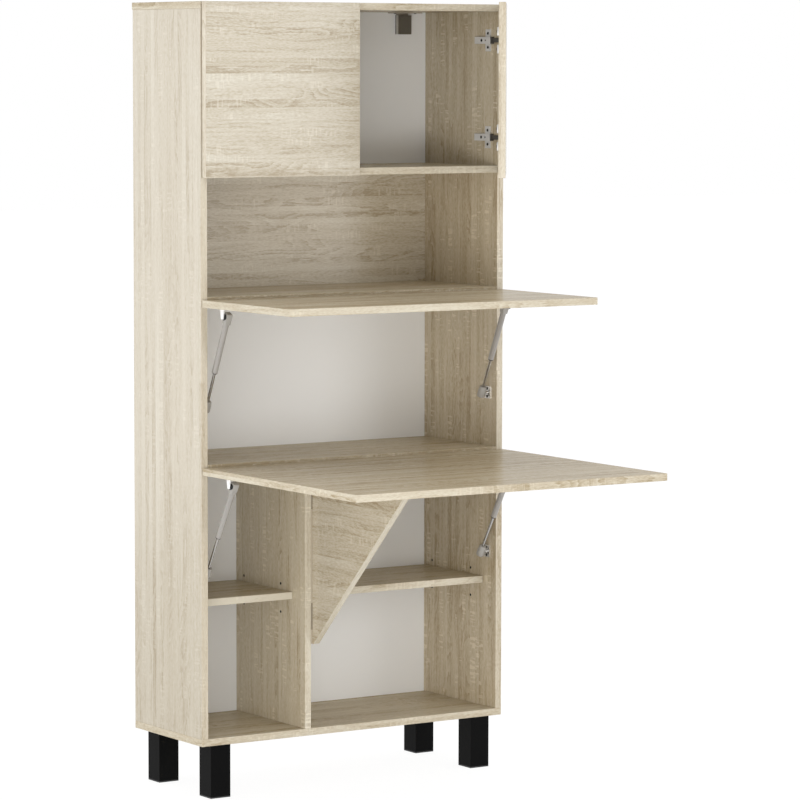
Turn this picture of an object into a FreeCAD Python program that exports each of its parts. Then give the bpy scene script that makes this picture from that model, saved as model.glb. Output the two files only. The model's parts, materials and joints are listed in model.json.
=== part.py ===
import FreeCAD, Part
import Sketcher
import os
import re

# Driving dimensions: millimetres, and degrees where the name says angle
SIZES = {
    # Carcass boards
    "width": 800,
    "side_depth": 300,
    "board": 16,
    "edge_round": 0.8,
    "lower_clear": 592,
    "middle_clear": 352,
    "niche_clear": 261,
    "cupboard_clear": 350,
    "left_bay": 250.5,
    "back_sheet": 3,
    "back_inset": 2,
    "back_gap": 1,
    # Lower shelves and their pins
    "shelf_rise": 287,
    "shelf_setback": 53,
    "shelf_play": 0.5,
    "pin_row_front": 104,
    "pin_row_back": 265,
    "pin_pitch": 32,
    "peg_radius": 2.5,
    "peg_depth": 7,
    "peg_reach": 8,
    # Dowels between the boards
    "dowel_radius": 4,
    "dowel_length": 32,
    "dowel_in_face": 11,
    "dowel_spread": 90,
    "hole_end_play": 0.5,
    # Legs
    "leg_height": 120,
    "leg_width": 50,
    "leg_wall": 2,
    "leg_plate": 3,
    "leg_inset_side": 28,
    "leg_inset_front": 10,
    "bolt_radius": 4,
    "bolt_head_radius": 6.5,
    "bolt_head": 5,
    "bolt_in_board": 12,
    "glide_flange": 3,
    "glide_plug": 12,
    # Doors and flaps
    "leaf": 16,
    "leaf_gap": 4,
    "pivot_edge": 8.4,
    "door_reveal": 1.5,
    "door_meeting": 3.5,
    "door_drop": 1,
    "door_hinge_inset": 81,
    "right_door_angle": 55,
    "flap_reveal": 0.5,
    "flap_drop": 5.6,
    "flap_hinge_inset": 90,
    "flap_angle": 90,
    "upper_flap_depth": 366,
    "lower_flap_depth": 626,
    # Cup hinges
    "cup_radius": 17.5,
    "cup_depth": 12,
    "cup_wall": 0.8,
    "cup_edge": 3,
    "flange_length": 60,
    "flange_width": 22,
    "flange_sheet": 1.2,
    "hinge_pin_radius": 1.2,
    "barrel_radius": 2.2,
    "arm_sheet": 2,
    "arm_nose": 10,
    "arm_crank": 10.5,
    "arm_front": 14,
    "arm_length": 68,
    "arm_width": 16,
    "arm_top": 15,
    "arm_screw_radius": 3.2,
    "arm_screw_recess": 2.5,
    "plate_sheet": 2,
    "plate_width": 20,
    "plate_height": 50,
    "plate_setback": 38,
    "plate_screw_pitch": 32,
    # Chipboard screws of the fittings
    "screw_radius": 1.7,
    "screw_length": 13,
    "screw_head_radius": 3.2,
    "screw_head": 1.2,
    # Gas struts
    "strut_offset": 17.5,
    "stud_back": 35,
    "stud_drop": 245,
    "upper_strut_reach": 58,
    "lower_strut_reach": 84,
    "strut_pivot_drop": 18.5,
    "ball_radius": 4.5,
    "neck_radius": 2.2,
    "neck_play": 1,
    "stud_plate_width": 21,
    "stud_plate_height": 28,
    "stud_plate_sheet": 2.5,
    "stud_screw_pitch": 18,
    "socket_radius": 7,
    "socket_tail": 10,
    "socket_nose": 17,
    "rod_radius": 3,
    "rod_grip": 8,
    "rod_insertion": 45,
    "piston": 6,
    "piston_play": 0.3,
    "cylinder_radius": 6.5,
    "cylinder_bore": 5.2,
    "cylinder_reach": 137,
    "cylinder_neck": 10,
    "cylinder_guide": 10,
    "cylinder_cap": 3,
    "tab_gap": 1.5,
    "tab_sheet": 2.5,
    "tab_foot": 28,
    "tab_tip": 14,
    "tab_below": 5,
    "bracket_base": 8,
    "stub_radius": 3,
    # Support gusset and its butt hinges
    "gusset_height": 395,
    "gusset_reach": 395,
    "gusset_nose": 8,
    "gusset_tip": 4,
    "gusset_setback": 4,
    "gusset_heel": 4,
    "gusset_hinge_inset": 62,
    "knuckle_radius": 3,
    "knuckle_length": 20,
    "knuckle_play": 0.4,
    "butt_pin_radius": 1.5,
    "butt_sheet": 1.2,
    "butt_fixed_width": 22,
    "butt_moving_width": 14,
    # Wall brackets
    "bracket_from_side": 48,
    "bracket_width": 36,
    "bracket_height": 44,
    "bracket_depth": 13,
    "bracket_below_top": 6.5,
    "bracket_wall": 1.5,
    "strap_width": 78,
    "strap_depth": 28,
    "strap_sheet": 2,
    "strap_screw_pitch": 56,
    "wall_screw_radius": 3,
    # Clearances
    "fit": 0.05,
    "lap": 0.3,
    "overrun": 2,
}

# Places and lengths that follow from the driving dimensions
PLACES = {
    "front": "-side_depth/2",
    "rear": "side_depth/2",
    "inner": "width/2 - board",
    "bottom_top": "leg_height + board",
    "desk_under": "bottom_top + lower_clear",
    "desk_top": "desk_under + board",
    "middle_under": "desk_top + middle_clear",
    "middle_top": "middle_under + board",
    "floor_under": "middle_top + niche_clear",
    "floor_top": "floor_under + board",
    "top_under": "floor_top + cupboard_clear",
    "top": "top_under + board",
    "divider_left": "left_bay - inner",
    "divider_right": "divider_left + board",
    "lower_shelf_under": "bottom_top + shelf_rise",
    "lower_shelf_depth": "side_depth - shelf_setback - shelf_play",
    "pivot_out": "leaf_gap + leaf/2",
    "pivot_y": "front - pivot_out",
    "door_width": "(width - 2*door_reveal - door_meeting)/2",
    "door_height": "board + cupboard_clear + board + door_drop",
    "door_middle": "top - door_height/2",
    "door_hinge_z": "door_height/2 - door_hinge_inset",
    "door_pivot_x": "width/2 - door_reveal - pivot_edge",
    "door_surface": "board - door_reveal - pivot_edge",
    "flap_width": "width - 2*flap_reveal",
    "flap_hinge_x": "flap_width/2 - flap_hinge_inset",
    "flap_pivot_drop": "flap_drop + pivot_edge",
    "flap_surface": "board - flap_pivot_drop",
    "cup_middle": "cup_edge + cup_radius - pivot_edge",
    "pin_outside": "cup_middle + hinge_pin_radius",
    "hinge_pin_half": "sqrt(cup_radius*cup_radius - pin_outside*pin_outside) - lap",
    "strut_x": "inner - strut_offset",
    "flap_under_drop": "flap_pivot_drop + leaf/2",
    "strut_rise": "stud_drop - flap_under_drop - strut_pivot_drop",
    "tab_inner": "socket_radius + tab_gap",
    "gusset_axis_x": "divider_right + knuckle_radius + knuckle_play",
    "gusset_axis_y": "front + gusset_setback",
    "gusset_back": "knuckle_radius + knuckle_play",
    "gusset_top": "desk_top - flap_under_drop - lap",
    "gusset_bottom": "gusset_top - gusset_height",
    "bracket_x": "inner - bracket_from_side - bracket_width/2",
    "bracket_top": "top_under - bracket_below_top",
}
ARM_SCREW_SHARES = (0.38, 0.61)
GUSSET_HINGE_LEVELS = {"upper": "gusset_top - gusset_hinge_inset",
                       "lower": "gusset_bottom + gusset_hinge_inset"}
SIDES = {"left": -1, "right": 1}

# How a hinge frame (leaf along x, inwards along y, pin along z) is turned about Y to hang a leaf
LEFT_DOOR_TURN = 0
RIGHT_DOOR_TURN = 180
FLAP_TURN = 90

doc = FreeCAD.newDocument("desk_cabinet")
sheet = doc.addObject("Spreadsheet::Sheet", "Sizes")
for row, (alias, value) in enumerate(SIZES.items(), start=1):
    sheet.set("A%d" % row, alias)
    sheet.set("B%d" % row, str(value))
    sheet.setAlias("B%d" % row, alias)
doc.recompute()

NODES = []


def bound(text):
    """Write a sum of sizes and places as an expression on the sheet's cells."""

    def word(match):
        name = match.group()
        if name in PLACES:
            return "(" + bound(PLACES[name]) + ")"
        return "Sizes." + name if name in SIZES else name

    return re.sub(r"[a-z_]+", word, str(text))


def bind(thing, **properties):
    for name, text in properties.items():
        thing.setExpression(name, bound(text))
    return thing


def set_at(thing, at):
    for axis, text in zip("xyz", at):
        thing.setExpression("Placement.Base." + axis, bound(text))
    return thing


def turn_about(thing, axis, angle):
    thing.Placement.Rotation = FreeCAD.Rotation(FreeCAD.Vector(*axis), angle)
    return thing


def box(name, size, at):
    block = doc.addObject("Part::Box", name)
    bind(block, Length=size[0], Width=size[1], Height=size[2])
    return set_at(block, at)


def round_bar(name, radius, length, at, axis="Z"):
    bar = doc.addObject("Part::Cylinder", name)
    if axis == "X":
        turn_about(bar, (0, 1, 0), 90)
    elif axis == "Y":
        turn_about(bar, (1, 0, 0), -90)
    bind(bar, Radius=radius, Height=length)
    return set_at(bar, at)


def ball(name, radius, at):
    globe = doc.addObject("Part::Sphere", name)
    bind(globe, Radius=radius)
    return set_at(globe, at)


def group(name, pieces):
    bundle = doc.addObject("Part::Compound", name)
    bundle.Links = pieces
    return bundle


def fused(name, pieces):
    union = doc.addObject("Part::MultiFuse", name)
    union.Shapes = pieces
    return union


def less(name, base, tools):
    difference = doc.addObject("Part::Cut", name)
    difference.Base = base
    difference.Tool = tools[0] if len(tools) == 1 else group(name + "_tools", tools)
    return difference


def node(label, piece):
    """Mark a document object as a finished sub-part under its label."""
    piece.Label = label
    NODES.append(piece)
    return piece


def moved(name, piece, at, turn=0, axis=(0, 1, 0)):
    """A copy of a piece, turned about one axis and set at a place."""
    return set_at(turn_about(group(name, [piece]), axis, turn), at)


def prism(name, plane, points, height, rounded=False):
    """A pad of a closed outline whose corners are bound to the sheet."""
    body = doc.addObject("PartDesign::Body", name)
    sketch = body.newObject("Sketcher::SketchObject", name + "_outline")
    origin = [item for item in body.Origin.OriginFeatures if item.Role == plane + "_Plane"][0]
    sketch.AttachmentSupport = (origin, [""])
    sketch.MapMode = "FlatFace"
    spread = SIZES["board"]
    corners = [FreeCAD.Vector(spread * (i % 2), spread * i, 0) for i in range(len(points))]
    for i, corner in enumerate(corners):
        sketch.addGeometry(Part.LineSegment(corner, corners[(i + 1) % len(corners)]), False)
    for i in range(len(points)):
        sketch.addConstraint(Sketcher.Constraint("Coincident", i, 2, (i + 1) % len(points), 1))
    for i, (across, along) in enumerate(points):
        for kind, text in (("DistanceX", across), ("DistanceY", along)):
            place = sketch.addConstraint(Sketcher.Constraint(kind, -1, 1, i, 1, spread))
            sketch.setExpression("Constraints[%d]" % place, bound(text))
    pad = body.newObject("PartDesign::Pad", name + "_pad")
    pad.Profile = sketch
    bind(pad, Length=height)
    if rounded:
        doc.recompute()
        edges = body.newObject("PartDesign::Fillet", name + "_edges")
        edges.Base = (pad, [""])
        edges.UseAllEdges = True
        bind(edges, Radius="edge_round")
        body.Tip = edges
    return body


def rectangle(low_x, low_y, high_x, high_y):
    return [(low_x, low_y), (high_x, low_y), (high_x, high_y), (low_x, high_y)]


def slab(name, size, at):
    """A board with softly rounded edges."""
    return set_at(prism(name, "XY", rectangle("0", "0", size[0], size[1]), size[2], rounded=True), at)


def drilled(label, board_piece):
    """A carcass board with every drilling that reaches it."""
    return node(label, less(label + "_drilled", board_piece, [DRILLINGS]))


# Dowels: one list gives the dowels and the holes that they sit in
def dowel_places():
    """Name, lowest end and direction of every dowel."""
    for row, row_y in (("front", "-dowel_spread"), ("back", "dowel_spread")):
        for side, sign in SIDES.items():
            post = "%d*(width/2 - board/2)" % sign
            yield side + "_top_" + row, (post, row_y, "top_under + dowel_in_face - dowel_length"), "Z"
            yield side + "_foot_" + row, (post, row_y, "bottom_top - dowel_in_face"), "Z"
            start = "-inner - dowel_in_face" if sign < 0 else "inner + dowel_in_face - dowel_length"
            for shelf in ("desk", "middle", "floor"):
                height = shelf + "_under + board/2"
                yield side + "_" + shelf + "_" + row, (start, row_y, height), "X"
        post = "divider_left + board/2"
        yield "divider_top_" + row, (post, row_y, "desk_under + dowel_in_face - dowel_length"), "Z"
        yield "divider_foot_" + row, (post, row_y, "bottom_top - dowel_in_face"), "Z"


def dowel_hole(name, at, axis):
    lengthened = "dowel_length + 2*hole_end_play"
    back_off = {"X": (" - hole_end_play", "", ""), "Z": ("", "", " - hole_end_play")}[axis]
    start = [text + extra for text, extra in zip(at, back_off)]
    return round_bar(name + "_hole", "dowel_radius + fit", lengthened, start, axis)


dowels = [round_bar(name, "dowel_radius", "dowel_length", at, axis) for name, at, axis in dowel_places()]
dowel_holes = [dowel_hole(name, at, axis) for name, at, axis in dowel_places()]

# Shelf pegs: each face beside a lower shelf has two rows of three holes, and pegs in the middle ones
PEG_FACES = {"left_side": ("-inner", -1), "divider_west": ("divider_left", 1),
             "divider_east": ("divider_right", -1), "right_side": ("inner", 1)}
pegs = []
peg_holes = []
for face, (face_x, inwards) in PEG_FACES.items():
    for row in ("front", "back"):
        row_y = "front + pin_row_" + row
        for step in (-1, 0, 1):
            height = "lower_shelf_under - peg_radius + %d*pin_pitch" % step
            name = "%s_%s_%d" % (face, row, step + 1)
            start = face_x if inwards > 0 else face_x + " - peg_depth"
            hole_at = (start, row_y, height)
            peg_holes.append(round_bar(name + "_hole", "peg_radius + fit", "peg_depth", hole_at, "X"))
            if step == 0:
                start = face_x + (" - peg_reach" if inwards > 0 else " - peg_depth")
                length = "peg_reach + peg_depth"
                pegs.append(round_bar(name, "peg_radius", length, (start, row_y, height), "X"))

# Legs: square tubes with a welded top plate, a bolt into the bottom panel and a floor glide
leg_bolts = []
bolt_holes = []
glides = []
LEG_ROWS = {"front": "front + leg_inset_front", "back": "rear - leg_inset_front - leg_width"}
for end, low_y in LEG_ROWS.items():
    for side, sign in SIDES.items():
        name = "leg_%s_%s" % (end, side)
        low_x = "leg_inset_side - width/2" if sign < 0 else "width/2 - leg_inset_side - leg_width"
        tube_size = ("leg_width", "leg_width", "leg_height - glide_flange")
        tube = box(name + "_tube", tube_size, (low_x, low_y, "glide_flange"))
        hollow_size = ("leg_width - 2*leg_wall", "leg_width - 2*leg_wall", "leg_height - leg_plate")
        hollow = box(name + "_hollow", hollow_size, (low_x + " + leg_wall", low_y + " + leg_wall", "0"))
        middle = (low_x + " + leg_width/2", low_y + " + leg_width/2")
        hole = round_bar(name + "_hole", "bolt_radius + lap", "leg_height", middle + ("0",))
        node(name, less(name + "_welded", tube, [hollow, hole]))
        head_z = "leg_height - leg_plate - bolt_head"
        shank_length = "bolt_head + leg_plate + bolt_in_board"
        leg_bolts.append(fused(name + "_bolt", [
            round_bar(name + "_bolt_head", "bolt_head_radius", "bolt_head", middle + (head_z,)),
            round_bar(name + "_bolt_shank", "bolt_radius", shank_length, middle + (head_z,))]))
        pilot_length = "bolt_in_board + hole_end_play"
        pilot_at = middle + ("leg_height",)
        bolt_holes.append(round_bar(name + "_pilot", "bolt_radius + fit", pilot_length, pilot_at))
        plug = "leg_width - 2*leg_wall - 2*fit"
        plug_at = (low_x + " + leg_wall + fit", low_y + " + leg_wall + fit", "0")
        glides.append(fused(name + "_glide", [
            box(name + "_glide_foot", ("leg_width", "leg_width", "glide_flange"), (low_x, low_y, "0")),
            box(name + "_glide_plug", (plug, plug, "glide_flange + glide_plug"), plug_at)]))
node("leg_bolts", group("leg_bolt_set", leg_bolts))
node("leg_glides", group("leg_glide_set", glides))


# Chipboard screws, drawn from the seat of the head: place, axis, and the way the shank points
def screw_pair(name, at, axis, way):
    """A screw and the hole that it takes in the fitting and the board."""
    index = "XYZ".index(axis)

    def span(length, head_side):
        start = list(at)
        if (way < 0) != head_side:
            start[index] += " - (" + length + ")"
        return start

    shank = round_bar(name + "_shank", "screw_radius", "screw_length", span("screw_length", False), axis)
    head = round_bar(name + "_head", "screw_head_radius", "screw_head", span("screw_head", True), axis)
    pilot_length = "screw_length + hole_end_play"
    pilot = round_bar(name + "_pilot", "screw_radius + fit", pilot_length, span(pilot_length, False), axis)
    return fused(name, [shank, head]), pilot


screws = []
screw_pilots = []


# Cup hinges, drawn in the hinge frame: leaf along x, inwards along y, pin axis along z
def hinge_arm(name, surface):
    nose_z = "-arm_nose/2"
    bottom = surface + " + plate_sheet"
    strip_y = "-arm_sheet/2"
    channel_y = "pivot_out + arm_front"
    barrel = round_bar(name + "_barrel", "barrel_radius", "arm_nose", ("0", "0", nose_z))
    hook_size = ("arm_crank + arm_sheet", "arm_sheet", "arm_nose")
    hook = box(name + "_hook", hook_size, ("0", strip_y, nose_z))
    shank_size = ("arm_sheet", channel_y + " + arm_sheet + arm_sheet/2", "arm_nose")
    shank = box(name + "_shank", shank_size, ("arm_crank", strip_y, nose_z))
    channel_size = ("arm_top - (" + bottom + ")", "arm_length", "arm_width")
    channel = box(name + "_channel", channel_size, (bottom, channel_y, "-arm_width/2"))
    bore_at = ("0", "0", nose_z + " - overrun")
    bore = round_bar(name + "_bore", "hinge_pin_radius + fit", "arm_nose + 2*overrun", bore_at)
    recesses = []
    for number, share in enumerate(ARM_SCREW_SHARES):
        seat = ("arm_top - arm_screw_recess", channel_y + " + %s*arm_length" % share, "0")
        stem = "%s_recess_%d" % (name, number)
        recesses.append(round_bar(stem, "arm_screw_radius", "arm_screw_recess + overrun", seat, "X"))
    return less(name, fused(name + "_solid", [barrel, hook, shank, channel]), [bore] + recesses)


def hinge_plate(name, surface):
    middle_y = "pivot_out + plate_setback"
    wings = box(name + "_wings", ("plate_sheet", "plate_width", "plate_height"),
                (surface, middle_y + " - plate_width/2", "-plate_height/2"))
    pairs = []
    for number, sign in enumerate((-1, 1)):
        seat = (surface + " + plate_sheet", middle_y, "%d*plate_screw_pitch/2" % sign)
        pairs.append(screw_pair("%s_screw_%d" % (name, number), seat, "X", -1))
    local_screws = group(name + "_screws", [pair[0] for pair in pairs])
    local_pilots = group(name + "_pilots", [pair[1] for pair in pairs])
    return less(name, wings, [local_pilots]), local_screws, local_pilots


DOOR_HINGES = {}
FLAP_HINGES = {}
for side, sign in SIDES.items():
    turn = LEFT_DOOR_TURN if sign < 0 else RIGHT_DOOR_TURN
    for level, step in (("low", -1), ("high", 1)):
        place = ("%d*door_pivot_x" % sign, "pivot_y", "door_middle + %d*door_hinge_z" % step)
        DOOR_HINGES["%s_door_%s" % (side, level)] = (place, turn)
    for flap in ("upper", "lower"):
        shelf = {"upper": "middle", "lower": "desk"}[flap]
        place = ("%d*flap_hinge_x" % sign, "pivot_y", shelf + "_top - flap_pivot_drop")
        FLAP_HINGES["%s_flap_%s" % (flap, side)] = (place, FLAP_TURN)

for family, hinges in (("door", DOOR_HINGES), ("flap", FLAP_HINGES)):
    arm = hinge_arm(family + "_arm", family + "_surface")
    plate, plate_screws, plate_pilots = hinge_plate(family + "_plate", family + "_surface")
    copies = {"arm": [], "plate": []}
    for name, (place, turn) in hinges.items():
        copies["arm"].append(moved(name + "_arm", arm, place, turn))
        copies["plate"].append(moved(name + "_plate", plate, place, turn))
        screws.append(moved(name + "_screws", plate_screws, place, turn))
        screw_pilots.append(moved(name + "_pilots", plate_pilots, place, turn))
    node(family + "_hinge_arms", group(family + "_arm_set", copies["arm"]))
    node(family + "_hinge_plates", group(family + "_plate_set", copies["plate"]))


# Butt hinges of the gusset, drawn about the z axis: the fixed leaf holds the outer knuckles
def butt_hinge(name):
    """Fixed leaf, moving leaf, pin, and the fixed leaf's screws with their holes."""
    clear = "knuckle_radius + lap"
    face = "-gusset_back"
    whole = "3*knuckle_length"
    low = "-3*knuckle_length/2"
    pin = round_bar(name + "_pin", "butt_pin_radius", whole, ("0", "0", low))
    fixed_size = ("butt_sheet", "butt_fixed_width - (" + clear + ")", whole)
    fixed = [box(name + "_fixed_plate", fixed_size, (face, clear, low))]
    for place, start in (("low", low), ("high", "knuckle_length/2")):
        stem = "%s_%s_knuckle" % (name, place)
        fixed.append(round_bar(stem, "knuckle_radius", "knuckle_length", ("0", "0", start)))
        fixed.append(box(stem + "_wing", ("butt_sheet", clear, "knuckle_length"), (face, "0", start)))
    pairs = []
    for number, sign in enumerate((-1, 1)):
        seat_y = "(butt_fixed_width + knuckle_radius)/2"
        seat = (face + " + butt_sheet", seat_y, "%d*knuckle_length" % sign)
        pairs.append(screw_pair("%s_screw_%d" % (name, number), seat, "X", -1))
    local_screws = group(name + "_screws", [pair[0] for pair in pairs])
    local_pilots = group(name + "_pilots", [pair[1] for pair in pairs])
    fixed_leaf = less(name + "_fixed", fused(name + "_fixed_solid", fixed), [pin, local_pilots])
    middle_low = "lap - knuckle_length/2"
    middle_length = "knuckle_length - 2*lap"
    moving_size = ("butt_moving_width - (" + clear + ")", "butt_sheet", whole)
    middle_at = ("0", "0", middle_low)
    moving = [box(name + "_moving_plate", moving_size, (clear, face, low)),
              box(name + "_middle_wing", (clear, "butt_sheet", middle_length), ("0", face, middle_low)),
              round_bar(name + "_middle_knuckle", "knuckle_radius", middle_length, middle_at)]
    bore_at = ("0", "0", "-knuckle_length/2")
    bore = round_bar(name + "_middle_bore", "butt_pin_radius + fit", "knuckle_length", bore_at)
    moving_leaf = less(name + "_moving", fused(name + "_moving_solid", moving), [bore])
    return {"gusset_fixed_leaves": fixed_leaf, "gusset_moving_leaves": moving_leaf,
            "gusset_hinge_pins": pin}, local_screws, local_pilots


butt_pieces, butt_screws, butt_pilots = butt_hinge("butt")
butt_copies = {label: [] for label in butt_pieces}
for level, at_z in GUSSET_HINGE_LEVELS.items():
    place = ("gusset_axis_x", "gusset_axis_y", at_z)
    for label, piece in butt_pieces.items():
        butt_copies[label].append(moved("%s_%s" % (level, label), piece, place))
    screws.append(moved(level + "_butt_screws", butt_screws, place))
    screw_pilots.append(moved(level + "_butt_pilots", butt_pilots, place))
for label, pieces in butt_copies.items():
    node(label, group(label + "_set", pieces))

# Wall brackets: a strap under the top panel with a tab down the back, and a cover over the tab
straps = []
covers = []
for side, sign in SIDES.items():
    middle = "%d*bracket_x" % sign
    strap_at = (middle + " - strap_width/2", "rear - strap_depth", "top_under - strap_sheet")
    strap = box(side + "_strap", ("strap_width", "strap_depth", "strap_sheet"), strap_at)
    tab_width = "bracket_width - 2*bracket_wall - 2*lap"
    tab_length = "bracket_height + bracket_below_top - bracket_wall - lap"
    tab_at = (middle + " - (" + tab_width + ")/2", "rear - strap_sheet", "top_under - (" + tab_length + ")")
    tab = box(side + "_strap_tab", (tab_width, "strap_sheet", tab_length), tab_at)
    hole = round_bar(side + "_strap_hole", "wall_screw_radius", "strap_sheet + 2*overrun",
                     (middle, "rear - strap_sheet - overrun", "bracket_top - bracket_height/2"), "Y")
    pilots = []
    for number, step in enumerate((-1, 1)):
        seat_x = middle + " + %d*strap_screw_pitch/2" % step
        seat = (seat_x, "rear - strap_depth/2", "top_under - strap_sheet")
        screw, pilot = screw_pair("%s_strap_screw_%d" % (side, number), seat, "Z", 1)
        screws.append(screw)
        pilots.append(pilot)
    screw_pilots.extend(pilots)
    straps.append(less(side + "_wall_bracket", fused(side + "_strap_bent", [strap, tab]),
                       [hole] + pilots))
    corner = (middle + " - bracket_width/2", "rear - bracket_depth", "bracket_top - bracket_height")
    shell = box(side + "_cover_block", ("bracket_width", "bracket_depth", "bracket_height"), corner)
    room_size = ("bracket_width - 2*bracket_wall", "bracket_depth", "bracket_height")
    room_at = [low + " + bracket_wall" for low in corner]
    covers.append(less(side + "_cover", shell, [box(side + "_cover_room", room_size, room_at)]))
node("wall_brackets", group("wall_bracket_set", straps))
node("wall_bracket_covers", group("cover_set", covers))


# Ball studs of the gas struts, on the inner faces of the sides
def stud(name, sign, at_z):
    low = "inner - stud_plate_sheet" if sign > 0 else "-inner"
    at_y = "front + stud_back"
    plate = box(name + "_plate", ("stud_plate_sheet", "stud_plate_width", "stud_plate_height"),
                (low, at_y + " - stud_plate_width/2", at_z + " - stud_plate_height/2"))
    neck_x = "strut_x" if sign > 0 else "-inner"
    neck = round_bar(name + "_neck", "neck_radius", "strut_offset", (neck_x, at_y, at_z), "X")
    globe = ball(name + "_ball", "ball_radius", ("%d*strut_x" % sign, at_y, at_z))
    pilots = []
    for number, step in enumerate((-1, 1)):
        seat = ("%d*(inner - stud_plate_sheet)" % sign, at_y, at_z + " + %d*stud_screw_pitch/2" % step)
        screw, pilot = screw_pair("%s_screw_%d" % (name, number), seat, "X", sign)
        screws.append(screw)
        pilots.append(pilot)
    screw_pilots.extend(pilots)
    return less(name, fused(name + "_solid", [plate, neck, globe]), pilots)


STRUT_SHELVES = {"upper": "middle_top", "lower": "desk_top"}
studs = []
for flap, shelf_top in STRUT_SHELVES.items():
    for side, sign in SIDES.items():
        studs.append(stud("%s_%s_stud" % (flap, side), sign, shelf_top + " - stud_drop"))
node("strut_studs", group("strut_stud_set", studs))
node("chipboard_screws", group("screw_set", screws))
node("shelf_pins", group("peg_set", pegs))
node("carcass_dowels", group("dowel_set", dowels))
DRILLINGS = group("drillings", dowel_holes + peg_holes + bolt_holes + screw_pilots)

# Carcass boards
side_size = ("board", "side_depth", "top_under - bottom_top")
drilled("left_side", slab("left_side_board", side_size, ("-width/2", "front", "bottom_top")))
drilled("right_side", slab("right_side_board", side_size, ("inner", "front", "bottom_top")))
top_size = ("width", "side_depth + back_sheet", "board")
drilled("top_panel", slab("top_board", top_size, ("-width/2", "front", "top_under")))
bottom_size = ("width", "side_depth", "board")
drilled("bottom_panel", slab("bottom_board", bottom_size, ("-width/2", "front", "leg_height")))
shelf_size = ("2*inner", "side_depth", "board")
for label, level in (("cupboard_floor", "floor"), ("middle_shelf", "middle"), ("desk_shelf", "desk")):
    drilled(label, slab(label + "_board", shelf_size, ("-inner", "front", level + "_under")))
divider_size = ("board", "side_depth", "lower_clear")
drilled("divider", slab("divider_board", divider_size, ("divider_left", "front", "bottom_top")))
for label, low_x, length in (("left_lower_shelf", "-inner", "left_bay"),
                             ("right_lower_shelf", "divider_right", "inner - divider_right")):
    size = (length + " - 2*shelf_play", "lower_shelf_depth", "board")
    place = (low_x + " + shelf_play", "front + shelf_setback", "lower_shelf_under")
    node(label, slab(label + "_board", size, place))

# Back sheets, meeting at the middle of each shelf's rear edge
wall_holes = []
for side, sign in SIDES.items():
    hole_at = ("%d*bracket_x" % sign, "rear - overrun", "bracket_top - bracket_height/2")
    hole_length = "back_sheet + 2*overrun"
    wall_holes.append(round_bar(side + "_wall_hole", "wall_screw_radius", hole_length, hole_at, "Y"))
BACKS = (("lower_back", "leg_height", "desk_under + board/2"),
         ("middle_back", "desk_under + board/2", "middle_under + board/2"),
         ("niche_back", "middle_under + board/2", "floor_under + board/2"),
         ("cupboard_back", "floor_under + board/2", "top_under"))
for label, low_z, high_z in BACKS:
    size = ("width - 2*back_inset", "back_sheet", high_z + " - (" + low_z + ") - back_gap")
    panel = box(label + "_sheet", size, ("back_inset - width/2", "rear", low_z + " + back_gap"))
    node(label, less(label + "_cut", panel, wall_holes) if label == "cupboard_back" else panel)


# Doors and flaps, drawn closed in the hinge frame, then opened about the pin and hung
def opened(name, piece, angle):
    swung = group(name, [piece])
    bind(swung, **{"Placement.Rotation.Angle": "-(" + angle + ")"})
    return swung


def leaf_pieces(name, length, span, hinge_z):
    """The board with its cup bores, and its hinge cups and pins."""
    outline = rectangle("-pivot_edge", "-leaf/2", length + " - pivot_edge", "leaf/2")
    blank = prism(name + "_blank", "XY", outline, span, rounded=True)
    set_at(blank, ("0", "0", "-(" + span + ")/2"))
    bores = []
    cups = []
    pins = []
    for number, sign in enumerate((-1, 1)):
        stem = "%s_hinge_%d" % (name, number)
        height = "%d*(%s)" % (sign, hinge_z)
        floor_at = ("cup_middle", "leaf/2 - cup_depth", height)
        bores.append(round_bar(stem + "_bore", "cup_radius + fit", "cup_depth + overrun", floor_at, "Y"))
        wall = round_bar(stem + "_wall", "cup_radius", "cup_depth + flange_sheet", floor_at, "Y")
        flange = box(stem + "_flange", ("flange_width", "flange_sheet", "flange_length"),
                     ("cup_middle - flange_width/2", "leaf/2", height + " - flange_length/2"))
        room = round_bar(stem + "_room", "cup_radius - cup_wall", "cup_depth + flange_sheet + overrun",
                         ("cup_middle", "leaf/2 - cup_depth + cup_wall", height), "Y")
        pin_at = ("0", "0", height + " - hinge_pin_half")
        pin = round_bar(stem + "_pin", "hinge_pin_radius", "2*hinge_pin_half", pin_at)
        cups.append(less(stem + "_cup", fused(stem + "_pressed", [wall, flange]), [room, pin]))
        pins.append(pin)
    return less(name + "_bored", blank, bores), group(name + "_cups", cups), group(name + "_pins", pins)


def strut_bracket(name, reach, sign):
    """A base and a tapered tab on the flap's inner face, with a stub towards the strut's end."""
    pivot = (reach + " - pivot_out", "leaf/2 + strut_pivot_drop")
    foot = "leaf/2"
    tip = pivot[1] + " + tab_below"
    outline = [(pivot[0] + " - tab_foot/2", foot), (pivot[0] + " + tab_foot/2", foot),
               (pivot[0] + " + tab_tip/2", tip), (pivot[0] + " - tab_tip/2", tip)]
    inner_face = "%d*(strut_x + tab_inner)" % sign
    low_z = inner_face if sign > 0 else inner_face + " - tab_sheet"
    tab = set_at(prism(name + "_tab", "XY", outline, "tab_sheet"), ("0", "0", low_z))
    base_z = inner_face if sign > 0 else inner_face + " - bracket_base"
    base_at = (pivot[0] + " - tab_foot/2", foot, base_z)
    base = box(name + "_base", ("tab_foot", "tab_sheet", "bracket_base"), base_at)
    stub_z = inner_face + (" - (tab_gap - lap)" if sign > 0 else "")
    stub = round_bar(name + "_stub", "stub_radius", "tab_gap - lap", pivot + (stub_z,))
    return fused(name, [tab, base, stub])


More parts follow.
